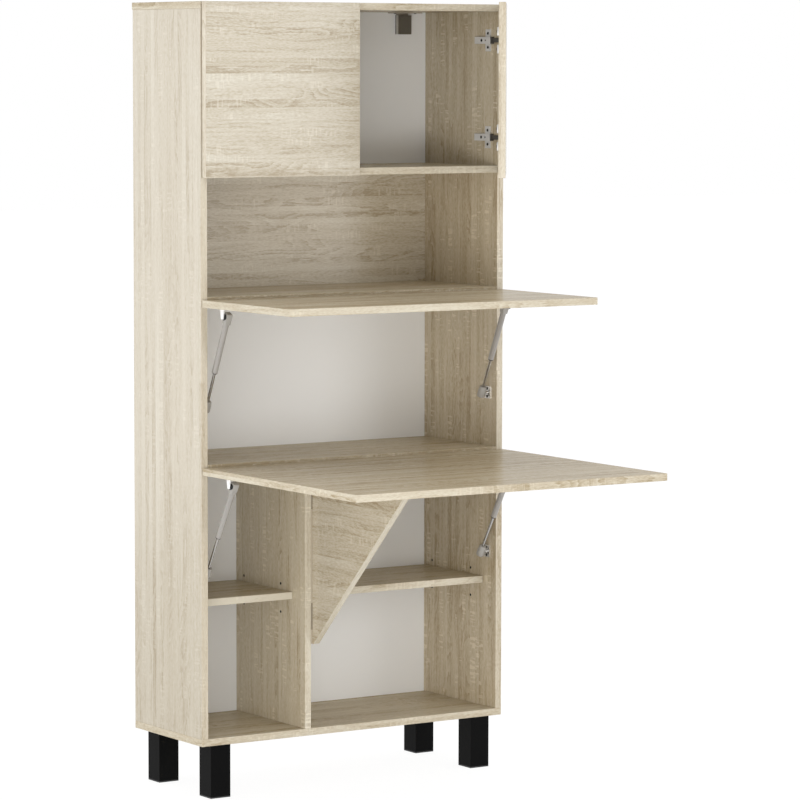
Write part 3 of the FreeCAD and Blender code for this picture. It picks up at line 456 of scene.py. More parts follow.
def oak(board, axes, seed, settings, hang=None, rear=None):
    """Printed oak: staves along the grain, flames, fibres and saw marks, with the grain along each edge."""
    wood = Finish("oak_" + board)
    place, normal = wood.place.outputs["Object"], wood.place.outputs["Normal"]
    if hang:
        pivot, opening = hang
        turned = {"Vector": place, "Location": pivot, "Rotation": (0.0, 0.0, opening)}
        place = wood.node("Mapping", turned, vector_type="TEXTURE").outputs[0]
        turned = {"Vector": normal, "Rotation": (0.0, 0.0, opening)}
        normal = wood.node("Mapping", turned, vector_type="TEXTURE").outputs[0]
    parts = wood.node("SeparateXYZ", {0: place}).outputs
    facing = wood.node("SeparateXYZ", {0: normal}).outputs
    along, across, through = (parts[axis] for axis in axes)
    end_face, thin_face = (wood.math("GREATER_THAN", wood.math("ABSOLUTE", facing[axis]), EDGE_NORMAL)
                           for axis in axes[:2])
    edge = wood.math("MAXIMUM", end_face, thin_face)
    run = wood.mix(end_face, along, across)
    side = wood.mix(end_face, wood.math("ADD", across, through), through)

    stave_place = wood.math("MULTIPLY_ADD", side, 1.0 / settings.stave, seed * STAVE_OFFSET)
    stave = wood.node("TexVoronoi", {"W": stave_place, "Randomness": STAVE_RANDOMNESS},
                      voronoi_dimensions="1D", feature="F1")
    chance = wood.node("SeparateColor", {0: stave.outputs["Color"]}).outputs
    shifted = wood.math("MULTIPLY_ADD", chance[0], STAVE_SHIFT, run)
    level = wood.math("MULTIPLY_ADD", chance[1], STAVE_LAYERS, seed)
    straight = wood.vector(shifted, side, level)
    figure = grain_layer(wood, "figure", straight)
    bent = wood.vector(shifted, wood.math("MULTIPLY_ADD", figure, settings.bend, side), level)
    layers = {name: grain_layer(wood, name, bent) for name in BENT_LAYERS}
    layers.update({name: grain_layer(wood, name, straight) for name in STRAIGHT_LAYERS})
    layers["stave"] = chance[2]

    wobble = wood.math("MULTIPLY_ADD", layers["line"], LINE_WOBBLE,
                       wood.math("MULTIPLY", layers["fibre"], FIBRE_WOBBLE))
    contour = wood.math("MULTIPLY", wood.math("ADD", figure, wobble), settings.contours)
    rings = wood.math("POWER", wood.math("FRACT", contour), RING_SHARPNESS)
    rings = wood.math("MULTIPLY", rings, layers["flame"])
    tone = wood.math("MULTIPLY_ADD", rings, RING_TONE, BASE_TONE)
    for name, spread in TONE_SPREADS.items():
        tone = wood.math("ADD", tone, wood.uneven(layers[name], spread))
    tone = wood.math("MULTIPLY_ADD", layers["streak"], STREAK_TONE, tone)
    marks = settings.inner_marks if board in INNER_BOARDS else settings.outer_marks
    # Painted sheen: the outer left side's grain and saw marks are calmed towards one tone, standing for the
    # reflected white surround
    if board == SHEEN_CALMED_BOARD:
        tone = wood.math("MULTIPLY_ADD", tone, settings.sheen_calm, SHEEN_CALM_TONE * (1.0 - settings.sheen_calm))
        marks *= settings.sheen_calm
    # Edge bands are a little paler. The listed boards' edges take painted light instead, the shelf edges behind
    # the flaps take painted shade, and the faces of the shelves and the divider take painted light
    edge_lift = getattr(settings, PAINTED_EDGE_LIGHT.get(board, "edge_lift"))
    painted_face_light = settings.painted_face_light if board in PAINTED_LIGHT_BOARDS else 0.0
    tone = wood.math("ADD", tone, wood.mix(edge, painted_face_light, edge_lift))

    grain_colours = [shaded(colour) for colour in (settings.deep, settings.middle, settings.pale)]
    colour = wood.ramp(tone, list(zip(GRAIN_TONES, grain_colours)))
    saw_marks = wood.math("MULTIPLY", layers["saw_mark"], layers["saw_patch"])
    colour = wood.blend(wood.math("MULTIPLY", saw_marks, marks), colour, shaded(settings.chalk))
    # Painted light: faces inside the cabinet take a warm tint of painted shade, the doors and the outer side a
    # cool tint of painted sheen
    if board in PAINTED_SHADE_BOARDS or board in PAINTED_SHEEN_BOARDS:
        painted_tint = settings.painted_shade_tint if board in PAINTED_SHADE_BOARDS else settings.painted_sheen_tint
        colour = wood.scaled(colour, wood.blend(edge, shaded(painted_tint), WHITE))
    roughness = wood.uneven(layers["fibre"], FACE_SPREAD, settings.roughness)
    if rear:
        behind = wood.math("GREATER_THAN", facing["Y"], REAR_NORMAL)
        colour = wood.blend(behind, colour, hardboard(wood, rear)[0])
        roughness = wood.mix(behind, roughness, BARE_ROUGHNESS)

    wood.bump(wood.math("ADD", layers["fibre"], layers["fleck"]), settings.relief)
    shine = settings.level_shine if axes == LEVEL else settings.shine
    return wood.finish(base_color=colour, roughness=roughness, specular_ior_level=shine)


def metal(name, colour, roughness, relief=0.00002, plating=1.0, knuckle=None):
    """Plated or polished metal with faint brushing and uneven polish, dark beyond a hinge's knuckle."""
    plate = Finish(name)
    place = plate.place.outputs["Object"]
    brush = plate.noise(plate.scaled(place, BRUSHING))
    haze = plate.noise(place, scale=HAZE_SCALE, detail=3.0)
    polish = plate.uneven(haze, HAZE_SPREAD, HAZE_MIDDLE)
    shade = plate.blend(polish, shaded(colour, HAZE_SHADE), shaded(colour))
    if knuckle:
        start, dark = knuckle
        outside = plate.math("LESS_THAN", plate.node("SeparateXYZ", {0: place}).outputs["Y"], start)
        shade = plate.blend(outside, shade, shaded(dark))
    plate.bump(brush, relief)
    gloss = plate.uneven(brush, BRUSH_SPREAD, roughness)
    return plate.finish(base_color=shade, metallic=plating, roughness=gloss)


def coating(name, colour, roughness, grain=900.0, relief=0.00004, mottle=0.12, shine=0.5):
    """Paint, powder coat or moulded plastic with a fine surface and a little mottling."""
    coat = Finish(name)
    place = coat.place.outputs["Object"]
    peel = coat.noise(place, scale=grain)
    cloud = coat.noise(place, scale=CLOUD_SCALE, detail=3.0)
    shade = coat.blend(cloud, shaded(colour, 1.0 - mottle), shaded(colour, 1.0 + mottle))
    coat.bump(peel, relief)
    gloss = coat.uneven(peel, PEEL_SPREAD, roughness)
    return coat.finish(base_color=shade, roughness=gloss, specular_ior_level=shine)


def hardboard(sheet, colour):
    """The brown fluff of bare hardboard, as its colour and its height."""
    fluff = sheet.noise(sheet.place.outputs["Object"], scale=FLUFF_SCALE, detail=4.0, roughness=0.7)
    stops = [(position, shaded(colour, factor)) for position, factor in FLUFF_SHADES]
    return sheet.ramp(fluff, stops), fluff


def back_sheet(name, finishes):
    """A thin back sheet: painted on the front and edges, bare brown hardboard at the rear."""
    sheet = Finish(name)
    place = sheet.place.outputs["Object"]
    facing = sheet.node("SeparateXYZ", {0: sheet.place.outputs["Normal"]}).outputs
    rear = sheet.math("GREATER_THAN", facing["Y"], REAR_NORMAL)
    peel = sheet.noise(place, scale=BACK_PEEL_SCALE)
    cloud = sheet.noise(place, scale=BACK_CLOUD_SCALE, detail=3.0)
    white = sheet.blend(cloud, shaded(finishes.back, BACK_SHADE), shaded(finishes.back))
    brown, fluff = hardboard(sheet, finishes.hardboard)
    sheet.bump(sheet.mix(rear, peel, fluff), BACK_RELIEF)
    gloss = sheet.mix(rear, sheet.uneven(peel, FACE_SPREAD, BACK_ROUGHNESS), BARE_ROUGHNESS)
    return sheet.finish(base_color=sheet.blend(rear, white, brown), roughness=gloss)


def dress(material, *nodes):
    """Give CAD nodes their finish."""
    for name in nodes:
        slots = frame["nodes"][name].data.materials
        slots.clear()
        slots.append(material)


def add_piece(name, mesh_data, material, node):
    """Finish a bmesh as a piece of the scene that rides on the body of a CAD node."""
    mesh = bpy.data.meshes.new(name)
    mesh_data.to_mesh(mesh)
    mesh_data.free()
    mesh.shade_smooth()
    mesh.set_sharp_from_angle(angle=SHARP_ANGLE)
    mesh.materials.append(bpy.data.materials[material])
    piece = bpy.data.objects.new(name, mesh)
    bpy.context.scene.collection.objects.link(piece)
    body = NODE_BODY[node]
    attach(piece, body)
    return piece


def islands(node):
    """The separate solids of a CAD node, each as a list of its corners."""
    copy = bmesh.new()
    copy.from_mesh(frame["nodes"][node].data)
    bmesh.ops.remove_doubles(copy, verts=copy.verts, dist=WELD)
    met = set()
    found = []
    for start in copy.verts:
        if start in met:
            continue
        met.add(start)
        front = [start]
        members = []
        while front:
            corner = front.pop()
            members.append(corner.co.copy())
            for edge in corner.link_edges:
                other = edge.other_vert(corner)
                if other not in met:
                    met.add(other)
                    front.append(other)
        found.append(members)
    copy.free()
    if not found:
        raise RuntimeError("no solids in node " + node)
    return found


def box_of(points):
    low = Vector([min(point[axis] for point in points) for axis in range(3)])
    high = Vector([max(point[axis] for point in points) for axis in range(3)])
    return low, high


def end_radius(corners, middle, axis, end):
    """Radius of a turned solid at one end of its axis."""
    spokes = [corner - middle for corner in corners if abs(corner[axis] - end) < SAME_PLACE]
    for spoke in spokes:
        spoke[axis] = 0.0
    return max(spoke.length for spoke in spokes)


def outlined(shares, wide, tall):
    """The (radius, height) points of an outline that is given in shares."""
    return [(wide * radius, tall * height) for radius, height in shares]


def ring(mesh_data, radius, height, sides):
    turns = [2.0 * math.pi * step / sides for step in range(sides)]
    return [mesh_data.verts.new((radius * math.cos(turn), radius * math.sin(turn), height))
            for turn in turns]


def join_loops(mesh_data, one, other):
    """Faces between two closed loops of the same count."""
    count = len(one)
    for step in range(count):
        after = (step + 1) % count
        mesh_data.faces.new((one[step], one[after], other[after], other[step]))


def lathe(mesh_data, profile, sides, place):
    """A turned solid from (radius, height) points, closed at both ends."""
    loops = [ring(mesh_data, radius, height, sides) for radius, height in profile]
    for one, other in zip(loops, loops[1:]):
        join_loops(mesh_data, one, other)
    mesh_data.faces.new(list(reversed(loops[0])))
    mesh_data.faces.new(loops[-1])
    bmesh.ops.transform(mesh_data, matrix=place, verts=[corner for loop in loops for corner in loop])


def block(mesh_data, low, high, soft, place=Matrix(), foot=1.0):
    """A block with rounded edges between two corners, narrowed towards its low z end by the foot share."""
    low, high = Vector(low), Vector(high)
    made = bmesh.ops.create_cube(mesh_data, size=1.0)["verts"]
    for corner in made:
        spread = high - low
        if corner.co.z < 0.0:
            spread = Vector((spread.x * foot, spread.y * foot, spread.z))
        corner.co = place @ ((low + high) / 2.0 + corner.co * spread)
    edges = list(dict.fromkeys(edge for corner in made for edge in corner.link_edges))
    mesh_data.normal_update()
    bmesh.ops.bevel(mesh_data, geom=edges, offset=soft, segments=ROUNDING_STEPS, profile=0.5,
                    affect="EDGES")


def crossed_screw(mesh_data, radius, height, sides, place, shank=None):
    """A pan head with a crossed recess, and its shank where the frame has one."""
    loops = [ring(mesh_data, wide, tall, sides) for wide, tall in outlined(HEAD_OUTLINE, radius, height)]
    for one, other in zip(loops, loops[1:]):
        join_loops(mesh_data, one, other)
    made = [corner for loop in loops for corner in loop]
    if shank:
        thin, deep = shank
        stem = [ring(mesh_data, thin, 0.0, sides), ring(mesh_data, thin, -SHANK_TAPER * deep, sides),
                ring(mesh_data, SHANK_TIP * thin, -deep, sides)]
        join_loops(mesh_data, stem[0], loops[0])
        join_loops(mesh_data, stem[1], stem[0])
        join_loops(mesh_data, stem[2], stem[1])
        mesh_data.faces.new(list(reversed(stem[2])))
        made += [corner for loop in stem for corner in loop]
    else:
        mesh_data.faces.new(list(reversed(loops[0])))
    wide, reach = CROSS_WIDTH * radius, CROSS_REACH * radius
    quarter = [(reach, -wide), (reach, wide), (wide, wide)]
    outline = []
    for _ in range(4):
        outline += quarter
        quarter = [(-y, x) for x, y in quarter]
    mouth = [mesh_data.verts.new((x, y, height)) for x, y in outline]
    floor = [mesh_data.verts.new((CROSS_FLOOR * x, CROSS_FLOOR * y, CROSS_LEVEL * height))
             for x, y in outline]
    rims = []
    for loop in (loops[-1], mouth):
        for step in range(len(loop)):
            pair = (loop[step], loop[(step + 1) % len(loop)])
            rims.append(mesh_data.edges.get(pair) or mesh_data.edges.new(pair))
    bmesh.ops.bridge_loops(mesh_data, edges=rims)
    join_loops(mesh_data, mouth, floor)
    mesh_data.faces.new(floor)
    made += mouth + floor
    bmesh.ops.transform(mesh_data, matrix=place, verts=made)


def aimed(place, direction):
    """A frame at a place whose z axis points along a direction."""
    return Matrix.Translation(place) @ Vector(direction).to_track_quat("Z", "Y").to_matrix().to_4x4()


def framed(place, *axes):
    """A frame at a place with the given axes."""
    return Matrix.Translation(place) @ Matrix(axes).transposed().to_4x4()


def right_door_hang():
    """Pivot and opening angle of the right door, for what turns with it."""
    joint = JOINTS[LEAF_JOINTS["right_door"]]
    return tuple(joint["pos_m"]), -math.radians(joint["range_deg"][0])


def leaf_frame(leaf):
    """The hinge frame of a hung leaf: along the leaf, inwards, and along the pin."""
    if leaf.endswith("flap"):
        along, inwards = Vector((0.0, -1.0, 0.0)), Vector((0.0, 0.0, -1.0))
    elif leaf == "left_door":
        along, inwards = Vector((1.0, 0.0, 0.0)), Vector((0.0, 1.0, 0.0))
    else:
        opening = right_door_hang()[1]
        along = Vector((-math.cos(opening), -math.sin(opening), 0.0))
        inwards = Vector((along.y, -along.x, 0.0))
    return framed(Vector(JOINTS[LEAF_JOINTS[leaf]]["pos_m"]), along, inwards, along.cross(inwards))


def strut_line(strut):
    """The lower ball, the tube's end, the upper pivot and the direction of a strut."""
    ball = Vector(JOINTS[strut + "_swing"]["pos_m"])
    axis = Vector(JOINTS[strut + "_slide"]["axis"]).normalized()
    corners = [corner.co - ball for corner in frame["nodes"][strut + "_cylinder"].data.vertices]
    eye = max(abs(corner.x) for corner in corners)
    reaches = [corner.dot(axis) for corner in corners]
    return ball, ball + axis * min(reaches), ball + axis * (max(reaches) - eye), axis


def middle_of(board):
    """Where the middle plane of an upright board lies across the cabinet."""
    low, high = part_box(board)
    return (low.x + high.x) / 2.0


class BoardsOperator(Operator):
    """Give every oak board its own stretch of grain."""
    bl_idname = "desk.dress_boards"
    bl_label = "Oak boards"

    def execute(self, context):
        settings = context.scene.desk_oak
        for seed, (board, axes) in enumerate(OAK_BOARDS.items()):
            hang = right_door_hang() if board == "right_door" else None
            rear = context.scene.desk_finish.hardboard if board == "niche_back" else None
            dress(oak(board, axes, 1.0 + seed, settings, hang, rear), board)
        return {"FINISHED"}


class BacksOperator(Operator):
    """Paint the white back sheets and leave their rear faces as bare hardboard."""
    bl_idname = "desk.dress_backs"
    bl_label = "Back sheets"

    def execute(self, context):
        dress(back_sheet("white_back_sheet", context.scene.desk_finish), *WHITE_BACKS)
        return {"FINISHED"}


class LegsOperator(Operator):
    """Powder coat the legs and mould the floor glides."""
    bl_idname = "desk.dress_legs"
    bl_label = "Legs"

    def execute(self, context):
        finishes = context.scene.desk_finish
        legs = [name for name in frame["nodes"]
                if name.startswith("leg_") and name not in ("leg_bolts", "leg_glides")]
        powder = coating("leg_powder_coat", finishes.leg, roughness=0.5, grain=1400.0, relief=0.00005,
                         shine=0.05)
        dress(powder, *legs)
        dress(coating("glide_plastic", finishes.glide, roughness=0.5), "leg_glides")
        dress(metal("bolt_steel", finishes.nickel, roughness=0.35), "leg_bolts")
        return {"FINISHED"}


class FittingsOperator(Operator):
    """Plate, polish and paint the hinges, struts, brackets and dowels."""
    bl_idname = "desk.dress_fittings"
    bl_label = "Fittings"

    def execute(self, context):
        finishes = context.scene.desk_finish
        cups_and_pins = [leaf + part for leaf in LEAF_JOINTS for part in ("_hinge_cups", "_hinge_pins")]
        rods, tubes, sockets = ([strut + part for strut in STRUTS]
                                for part in ("_rod", "_cylinder", "_socket"))
        nickel = metal("hinge_nickel", finishes.nickel, roughness=0.34, plating=0.3)
        dress(nickel, "door_hinge_plates", "flap_hinge_plates", "shelf_pins", *cups_and_pins)
        knuckle = (context.scene.desk_sizes.knuckle_place, finishes.bronze)
        arms = metal("hinge_arm_nickel", finishes.nickel, roughness=0.34, plating=0.3, knuckle=knuckle)
        dress(arms, "door_hinge_arms", "flap_hinge_arms")
        # The butt hinges' brown brass also paints the shadow line in the gusset's gap
        brass_and_gap_shade = metal("butt_brass", finishes.brass_and_gap_shade, roughness=0.4, plating=0.4)
        dress(brass_and_gap_shade, "gusset_fixed_leaves", "gusset_moving_leaves", "gusset_hinge_pins")
        dress(metal("rod_chrome", finishes.chrome, roughness=0.12, relief=0.000005), *rods)
        dress(metal("stud_nickel", finishes.nickel, roughness=0.14, plating=0.85), "strut_studs")
        dress(metal("screw_plating", finishes.screw, roughness=0.38), "chipboard_screws")
        dress(coating("strut_paint", finishes.strut, roughness=0.36, relief=0.00001), *tubes)
        dress(coating("socket_plastic", finishes.socket, roughness=0.42), *sockets)
        white = coating("bracket_paint", finishes.tab, roughness=0.4, mottle=0.03)
        dress(white, "upper_strut_brackets", "lower_strut_brackets")
        dress(coating("strap_paint", finishes.strap, roughness=0.45), "wall_brackets")
        dress(coating("cover_plastic", finishes.cover, roughness=0.45), "wall_bracket_covers")
        dress(coating("dowel_beech", finishes.beech, roughness=0.6, grain=300.0), "carcass_dowels")
        return {"FINISHED"}


class FittingScrewsOperator(Operator):
    """Cut crossed heads on the chipboard screws of the fittings."""
    bl_idname = "desk.add_fitting_screws"
    bl_label = "Fitting screws"

    def execute(self, context):
        sizes = context.scene.desk_sizes
        mesh_data = bmesh.new()
        for corners in islands("chipboard_screws"):
            low, high = box_of(corners)
            middle, spread = (low + high) / 2.0, high - low
            axis = list(spread).index(max(spread))
            low_radius, high_radius = (end_radius(corners, middle, axis, end[axis]) for end in (low, high))
            outwards = Vector([float(index == axis) for index in range(3)])
            if low_radius > high_radius:
                outwards.negate()
            tip = middle - outwards * spread[axis] / 2.0
            seats = sorted({round((corner - tip).dot(outwards), MICROMETRE_DIGITS) for corner in corners})
            seat = seats[1]
            crossed_screw(mesh_data, max(low_radius, high_radius), seats[-1] - seat, sizes.screw_sides,
                          aimed(tip + outwards * seat, outwards),
                          shank=(min(low_radius, high_radius), seat))
        piece = add_piece("fitting_screws", mesh_data, "screw_plating", "chipboard_screws")
        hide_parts("chipboard_screws")
        return {"FINISHED"}


class CupScrewsOperator(Operator):
    """Raise the ears of the cup flanges and screw them to the doors and flaps."""
    bl_idname = "desk.add_cup_screws"
    bl_label = "Cup screws"

    def execute(self, context):
        sizes = context.scene.desk_sizes
        half = sizes.ear_width / 2.0
        for leaf in LEAF_JOINTS:
            hinge_frame = leaf_frame(leaf)
            to_leaf = hinge_frame.inverted()
            ears, screws = bmesh.new(), bmesh.new()
            for corners in islands(leaf + "_hinge_cups"):
                low, high = box_of([to_leaf @ corner for corner in corners])
                middle = (low.x + high.x) / 2.0
                foot, top = high.y - sizes.ear_sink, high.y + sizes.ear_height
                for end, inner in ((low.z, low.z + sizes.ear_length), (high.z, high.z - sizes.ear_length)):
                    block(ears, (middle - half, foot, min(end, inner)),
                          (middle + half, top, max(end, inner)), sizes.ear_soft, hinge_frame)
                    seat = Vector((middle, top, (end + inner) / 2.0))
                    place = hinge_frame @ aimed(seat, (0.0, 1.0, 0.0))
                    crossed_screw(screws, sizes.cup_screw, sizes.cup_screw_height, sizes.screw_sides, place)
            add_piece(leaf + "_cup_ears", ears, "hinge_nickel", leaf)
            add_piece(leaf + "_cup_screws", screws, "screw_plating", leaf)
        return {"FINISHED"}


class ArmScrewsOperator(Operator):
    """Set the adjusting screws in the recesses of the hinge arms."""
    bl_idname = "desk.add_arm_screws"
    bl_label = "Arm screws"

    def execute(self, context):
        sizes = context.scene.desk_sizes
        metal("screw_black", context.scene.desk_finish.black_oxide, roughness=0.5)
        height = ARM_SCREW_HEIGHT * sizes.arm_recess
        for family in ("door", "flap"):
            mesh_data = bmesh.new()
            node = family + "_hinge_arms"
            for corners in islands(node):
                low, high = box_of(corners)
                middle = (low + high) / 2.0
                if family == "flap":
                    face, outwards = Vector((middle.x, high.y, low.z)), Vector((0.0, 0.0, -1.0))
                elif middle.x < 0.0:
                    face, outwards = Vector((high.x, high.y, middle.z)), Vector((1.0, 0.0, 0.0))
                else:
                    face, outwards = Vector((low.x, high.y, middle.z)), Vector((-1.0, 0.0, 0.0))
                for radius, back in zip((sizes.arm_screw, sizes.small_arm_screw), sizes.arm_screw_places):
                    seat = face - outwards * sizes.arm_recess - Vector((0.0, back, 0.0))
                    crossed_screw(mesh_data, radius, height, sizes.screw_sides, aimed(seat, outwards))
            add_piece(family + "_arm_screws", mesh_data, "screw_black", node)
        return {"FINISHED"}


class StrutDetailsOperator(Operator):
    """Fit the rod seals, end caps and lower sockets of the gas struts."""
    bl_idname = "desk.add_strut_details"
    bl_label = "Strut details"

    def execute(self, context):
        sizes = context.scene.desk_sizes
        coating("seal_rubber", context.scene.desk_finish.glide, roughness=0.6)
        across = Vector((1.0, 0.0, 0.0))
        for strut in STRUTS:
            ball, tube_end, pivot, axis = strut_line(strut)
            tube = strut + "_cylinder"
            low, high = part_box(strut + "_rod")
            rod = (high.x - low.x) / 2.0
            seal = bmesh.new()
            lathe(seal, outlined(SEAL_OUTLINE, rod, sizes.seal_lip), sizes.screw_sides,
                  aimed(tube_end, axis))
            add_piece(strut + "_seal", seal, "seal_rubber", tube)

            cap = bmesh.new()
            wide, deep, below = sizes.cap_width / 2.0, sizes.cap_depth / 2.0, sizes.cap_below
            place = framed(pivot, across, axis.cross(across), axis)
            block(cap, (-wide, -deep, -CAP_HEAD_START * below), (wide, deep, sizes.cap_above),
                  CAP_HEAD_SOFT * wide, place)
            neck_wide, neck_deep = CAP_NECK_WIDTH * wide, CAP_NECK_WIDTH * deep
            block(cap, (-neck_wide, -neck_deep, -below), (neck_wide, neck_deep, -CAP_NECK_END * below),
                  CAP_NECK_SOFT * wide, place, foot=CAP_NECK_FOOT)
            add_piece(strut + "_end_cap", cap, "socket_plastic", tube)

            shell = bmesh.new()
            profile = [*outlined(SOCKET_FOOT, sizes.socket, -sizes.socket_below),
                       *outlined(SOCKET_NECK, sizes.socket, sizes.socket_above),
                       (SOCKET_MOUTH * rod, sizes.socket_above)]
            lathe(shell, profile, sizes.screw_sides, aimed(ball, axis))
            piece = add_piece(strut + "_socket_shell", shell, "socket_plastic", strut + "_socket")
            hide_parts(strut + "_socket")
        return {"FINISHED"}


class StrutTabsOperator(Operator):
    """Shape the white brackets of the struts under the flaps, with their dark pivots."""
    bl_idname = "desk.add_strut_tabs"
    bl_label = "Strut tabs"

    def execute(self, context):
        sizes = context.scene.desk_sizes
        half = sizes.tab_top / 2.0
        for flap in ("upper", "lower"):
            tabs, pivots = bmesh.new(), bmesh.new()
            node = flap + "_strut_brackets"
            for corners in islands(node):
                low, high = box_of(corners)
                if low.x < 0.0:
                    side, inboard, outer, inner = "_left_strut", 1.0, low.x, high.x
                else:
                    side, inboard, outer, inner = "_right_strut", -1.0, high.x, low.x
                pivot = strut_line(flap + side)[2]
                blade = outer + inboard * sizes.tab_blade
                block(tabs, (low.x, low.y, high.z - sizes.tab_foot), high, TAB_FOOT_SOFT * sizes.tab_foot)
                block(tabs, (min(outer, blade), pivot.y - half, low.z),
                      (max(outer, blade), pivot.y + half, high.z), TAB_BLADE_SOFT * sizes.tab_blade,
                      foot=sizes.tab_tip / sizes.tab_top)
                lathe(pivots, outlined(PIVOT_OUTLINE, sizes.pivot, abs(inner - blade)), sizes.screw_sides,
                      aimed(Vector((blade, pivot.y, pivot.z)), (inboard, 0.0, 0.0)))
            piece = add_piece(flap + "_strut_tabs", tabs, "bracket_paint", node)
            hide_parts(node)
            add_piece(flap + "_strut_pivots", pivots, "seal_rubber", node)
        return {"FINISHED"}


class WallCoverTrimOperator(Operator):
    """Set pale grey side plates on the wall bracket covers, as painted light on the covers' sides."""
    bl_idname = "desk.add_wall_cover_trim"
    bl_label = "Wall cover trim"

    def execute(self, context):
        sizes = context.scene.desk_sizes
        # Painted light: pale plates stand for the lit sides of the covers
        coating("trim_paint", context.scene.desk_finish.lit_side_plate, roughness=0.4)
        node = "wall_bracket_covers"
        mesh_data = bmesh.new()
        for corners in islands(node):
            low, high = box_of(corners)
            for face, outwards in ((low.x, -1.0), (high.x, 1.0)):
                near, far = sorted((face, face + outwards * sizes.trim_sheet))
                block(mesh_data, (near, low.y, low.z), (far, low.y + sizes.trim_depth, high.z),
                      TRIM_SOFT * sizes.trim_sheet)
        add_piece("wall_cover_trim", mesh_data, "trim_paint", node)
        return {"FINISHED"}


class GussetStripOperator(Operator):
    """Fill the gap at the gusset's hinge edge with a brown strip of painted shade, the soft shadow line in that
    gap, broken at the butt hinges.
    """
    bl_idname = "desk.add_gusset_strip"
    bl_label = "Gusset strip"

    def execute(self, context):
        sizes = context.scene.desk_sizes
        # Painted shade: a brown strip stands for the shadow line in the gap beside the divider
        coating("strip_paint", context.scene.desk_finish.strip, roughness=0.5)
        low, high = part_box("support_gusset")
        near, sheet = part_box("divider")[1].x + sizes.strip_gap, sizes.strip_sheet
        hinges = [box_of(corners) for corners in islands("gusset_fixed_leaves")]
        stops = sorted([low.z, *[corner.z for hinge in hinges for corner in hinge], high.z])
        mesh_data = bmesh.new()
        for foot, head in zip(stops[::2], stops[1::2]):
            block(mesh_data, (near, high.y, foot), (low.x, high.y + sheet, head), STRIP_SOFT * sheet)
            block(mesh_data, (low.x - STRIP_LAP * sheet, high.y, foot),
                  (high.x, high.y + STRIP_FLANGE * sheet, head), STRIP_FLANGE_SOFT * sheet)
        add_piece("gusset_strip", mesh_data, "strip_paint", "support_gusset")
        return {"FINISHED"}


class PegSleevesOperator(Operator):
    """Line the empty peg holes above and below each shelf peg with dark sleeves."""
    bl_idname = "desk.add_peg_sleeves"
    bl_label = "Peg sleeves"

    def execute(self, context):
        sizes = context.scene.desk_sizes
        rim, bore, deep = sizes.sleeve_rim, sizes.sleeve_bore, sizes.sleeve_depth
        wall = bore + SLEEVE_WALL * (rim - bore)
        floor, hollow = SLEEVE_FLOOR * bore, SLEEVE_HOLLOW * deep
        profile = [(floor, -deep), (wall, -deep), (wall, 0.0), (rim, 0.0), (rim, sizes.sleeve_edge),
                   (bore, sizes.sleeve_lip), (bore, -hollow), (floor, -hollow)]
        mesh_data = bmesh.new()
        for corners in islands("shelf_pins"):
            low, high = box_of(corners)
            middle = (low + high) / 2.0
            board = min(("left_side", "divider", "right_side"),
                        key=lambda name: abs(middle.x - middle_of(name)))
            board_low, board_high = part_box(board)
            outwards = 1.0 if middle.x > middle_of(board) else -1.0
            face = board_high.x if outwards > 0.0 else board_low.x
            for step in (-1.0, 1.0):
                place = Vector((face, middle.y, middle.z + step * sizes.peg_pitch))
                lathe(mesh_data, profile, sizes.screw_sides, aimed(place, (outwards, 0.0, 0.0)))
        add_piece("peg_sleeves", mesh_data, "seal_rubber", "shelf_pins")
        return {"FINISHED"}


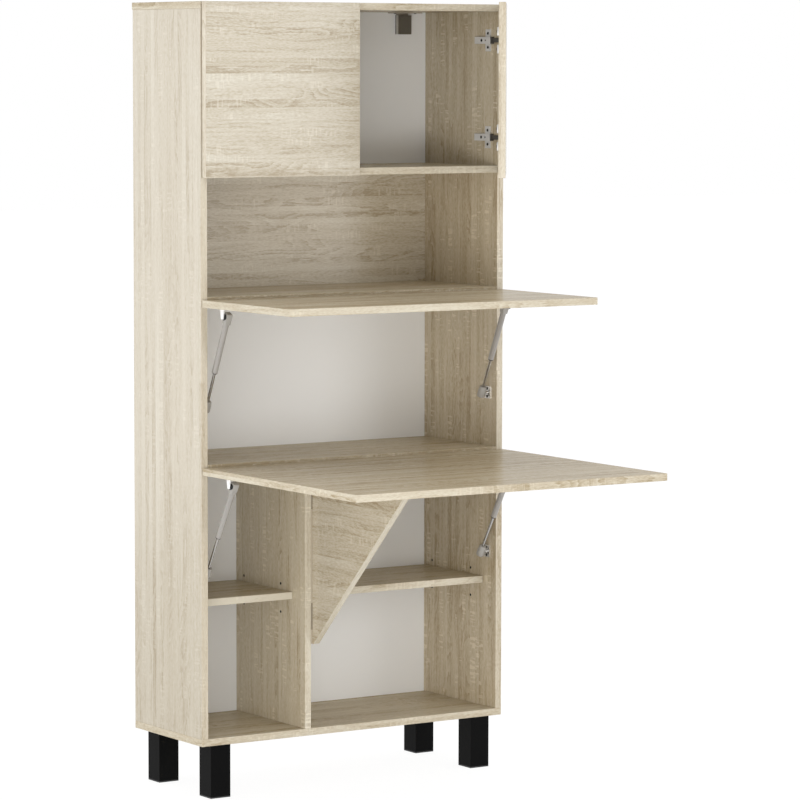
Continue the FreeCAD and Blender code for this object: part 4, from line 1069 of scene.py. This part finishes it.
class StudioOperator(Operator):
    """Set the floor, the lamps, the white surround and the camera."""
    bl_idname = "desk.build_studio"
    bl_label = "Studio"

    def execute(self, context):
        studio = context.scene.desk_studio
        self.floor(context.scene, studio)
        self.world(context.scene, studio)
        for name, (place, width, height) in SOFTBOXES.items():
            self.softbox(context.scene, name, Vector(place), width, height, getattr(studio, name))
        camera_data = bpy.data.cameras.new("photo_camera")
        camera_data.lens = studio.lens
        camera_data.sensor_width = studio.sensor
        camera_data.clip_end = studio.camera_reach
        camera = bpy.data.objects.new("photo_camera", camera_data)
        turn = (Matrix.Rotation(studio.azimuth, 4, "Z")
                @ Matrix.Rotation(math.pi / 2.0 - studio.elevation, 4, "X")
                @ Matrix.Rotation(studio.roll, 4, "Z"))
        camera.matrix_world = Matrix.Translation(studio.camera_place) @ turn
        context.scene.collection.objects.link(camera)
        context.scene.camera = camera
        context.scene.view_settings.view_transform = "Standard"
        return {"FINISHED"}

    def seen_share(self, tree):
        """One for rays that the camera sees directly, in a mirror or through glass."""
        path = tree.nodes.new("ShaderNodeLightPath")
        total = path.outputs["Is Camera Ray"]
        for name in ("Is Glossy Ray", "Is Transmission Ray"):
            more = tree.nodes.new("ShaderNodeMath")
            more.operation = "MAXIMUM"
            tree.links.new(total, more.inputs[0])
            tree.links.new(path.outputs[name], more.inputs[1])
            total = more.outputs[0]
        return total

    def floor(self, scene, studio):
        mesh_data = bmesh.new()
        bmesh.ops.create_grid(mesh_data, x_segments=1, y_segments=1, size=studio.floor_size / 2.0)
        mesh = bpy.data.meshes.new("studio_floor")
        mesh_data.to_mesh(mesh)
        mesh_data.free()
        sheet = bpy.data.objects.new("studio_floor", mesh)
        scene.collection.objects.link(sheet)
        pale = Finish("studio_floor_white")
        pale.finish(base_color=shaded(studio.floor_white), roughness=studio.floor_roughness)
        glow = pale.node("Emission", {"Color": WHITE, "Strength": studio.floor_glow})
        weight = pale.math("MULTIPLY", self.seen_share(pale.tree), 1.0 - studio.shadow_share)
        both = pale.node("MixShader", {0: weight, 1: pale.shader.outputs[0], 2: glow.outputs[0]})
        pale.feed(pale.output.inputs["Surface"], both.outputs[0])
        mesh.materials.append(pale.material)

    def world(self, scene, studio):
        surround = bpy.data.worlds.new("studio_surround")
        surround.use_nodes = True
        tree = surround.node_tree
        background = tree.nodes["Background"]
        background.inputs["Color"].default_value = WHITE
        level = tree.nodes.new("ShaderNodeMix")
        level.data_type = "FLOAT"
        level.inputs[2].default_value = studio.ambient
        level.inputs[3].default_value = 1.0
        tree.links.new(self.seen_share(tree), level.inputs[0])
        tree.links.new(level.outputs[0], background.inputs["Strength"])
        scene.world = surround

    def softbox(self, scene, name, place, width, height, watts):
        lamp_data = bpy.data.lights.new(name, "AREA")
        lamp_data.shape = "RECTANGLE"
        lamp_data.size = width
        lamp_data.size_y = height
        lamp_data.energy = watts
        lamp = bpy.data.objects.new(name, lamp_data)
        lamp.matrix_world = aimed(place, place - Vector(LIT_MIDDLE))
        lamp.visible_camera = False
        scene.collection.objects.link(lamp)


OPERATORS = (BoardsOperator, BacksOperator, LegsOperator, FittingsOperator, FittingScrewsOperator,
             CupScrewsOperator, ArmScrewsOperator, StrutDetailsOperator, StrutTabsOperator,
             WallCoverTrimOperator, GussetStripOperator, PegSleevesOperator, StudioOperator)


class DeskPanel(Panel):
    """Lists the operators that dress the desk cabinet."""
    bl_idname = "VIEW3D_PT_desk_cabinet"
    bl_label = "Desk Cabinet"
    bl_space_type = "VIEW_3D"
    bl_region_type = "UI"
    bl_category = "Desk Cabinet"

    def draw(self, context):
        for operator in OPERATORS:
            self.layout.operator(operator.bl_idname)


SETTINGS = {"desk_oak": OakFinish, "desk_finish": FittingFinish, "desk_sizes": FittingSizes,
            "desk_studio": StudioSettings}
CLASSES = (*SETTINGS.values(), *OPERATORS, DeskPanel)


def register():
    for item in CLASSES:
        bpy.utils.register_class(item)
    for name, group in SETTINGS.items():
        setattr(bpy.types.Scene, name, PointerProperty(type=group))


def unregister():
    for name in SETTINGS:
        delattr(bpy.types.Scene, name)
    for item in reversed(CLASSES):
        bpy.utils.unregister_class(item)


def main():
    register()
    for operator in OPERATORS:
        module, call = operator.bl_idname.split(".")
        getattr(getattr(bpy.ops, module), call)()


if __name__ == "__main__":
    main()
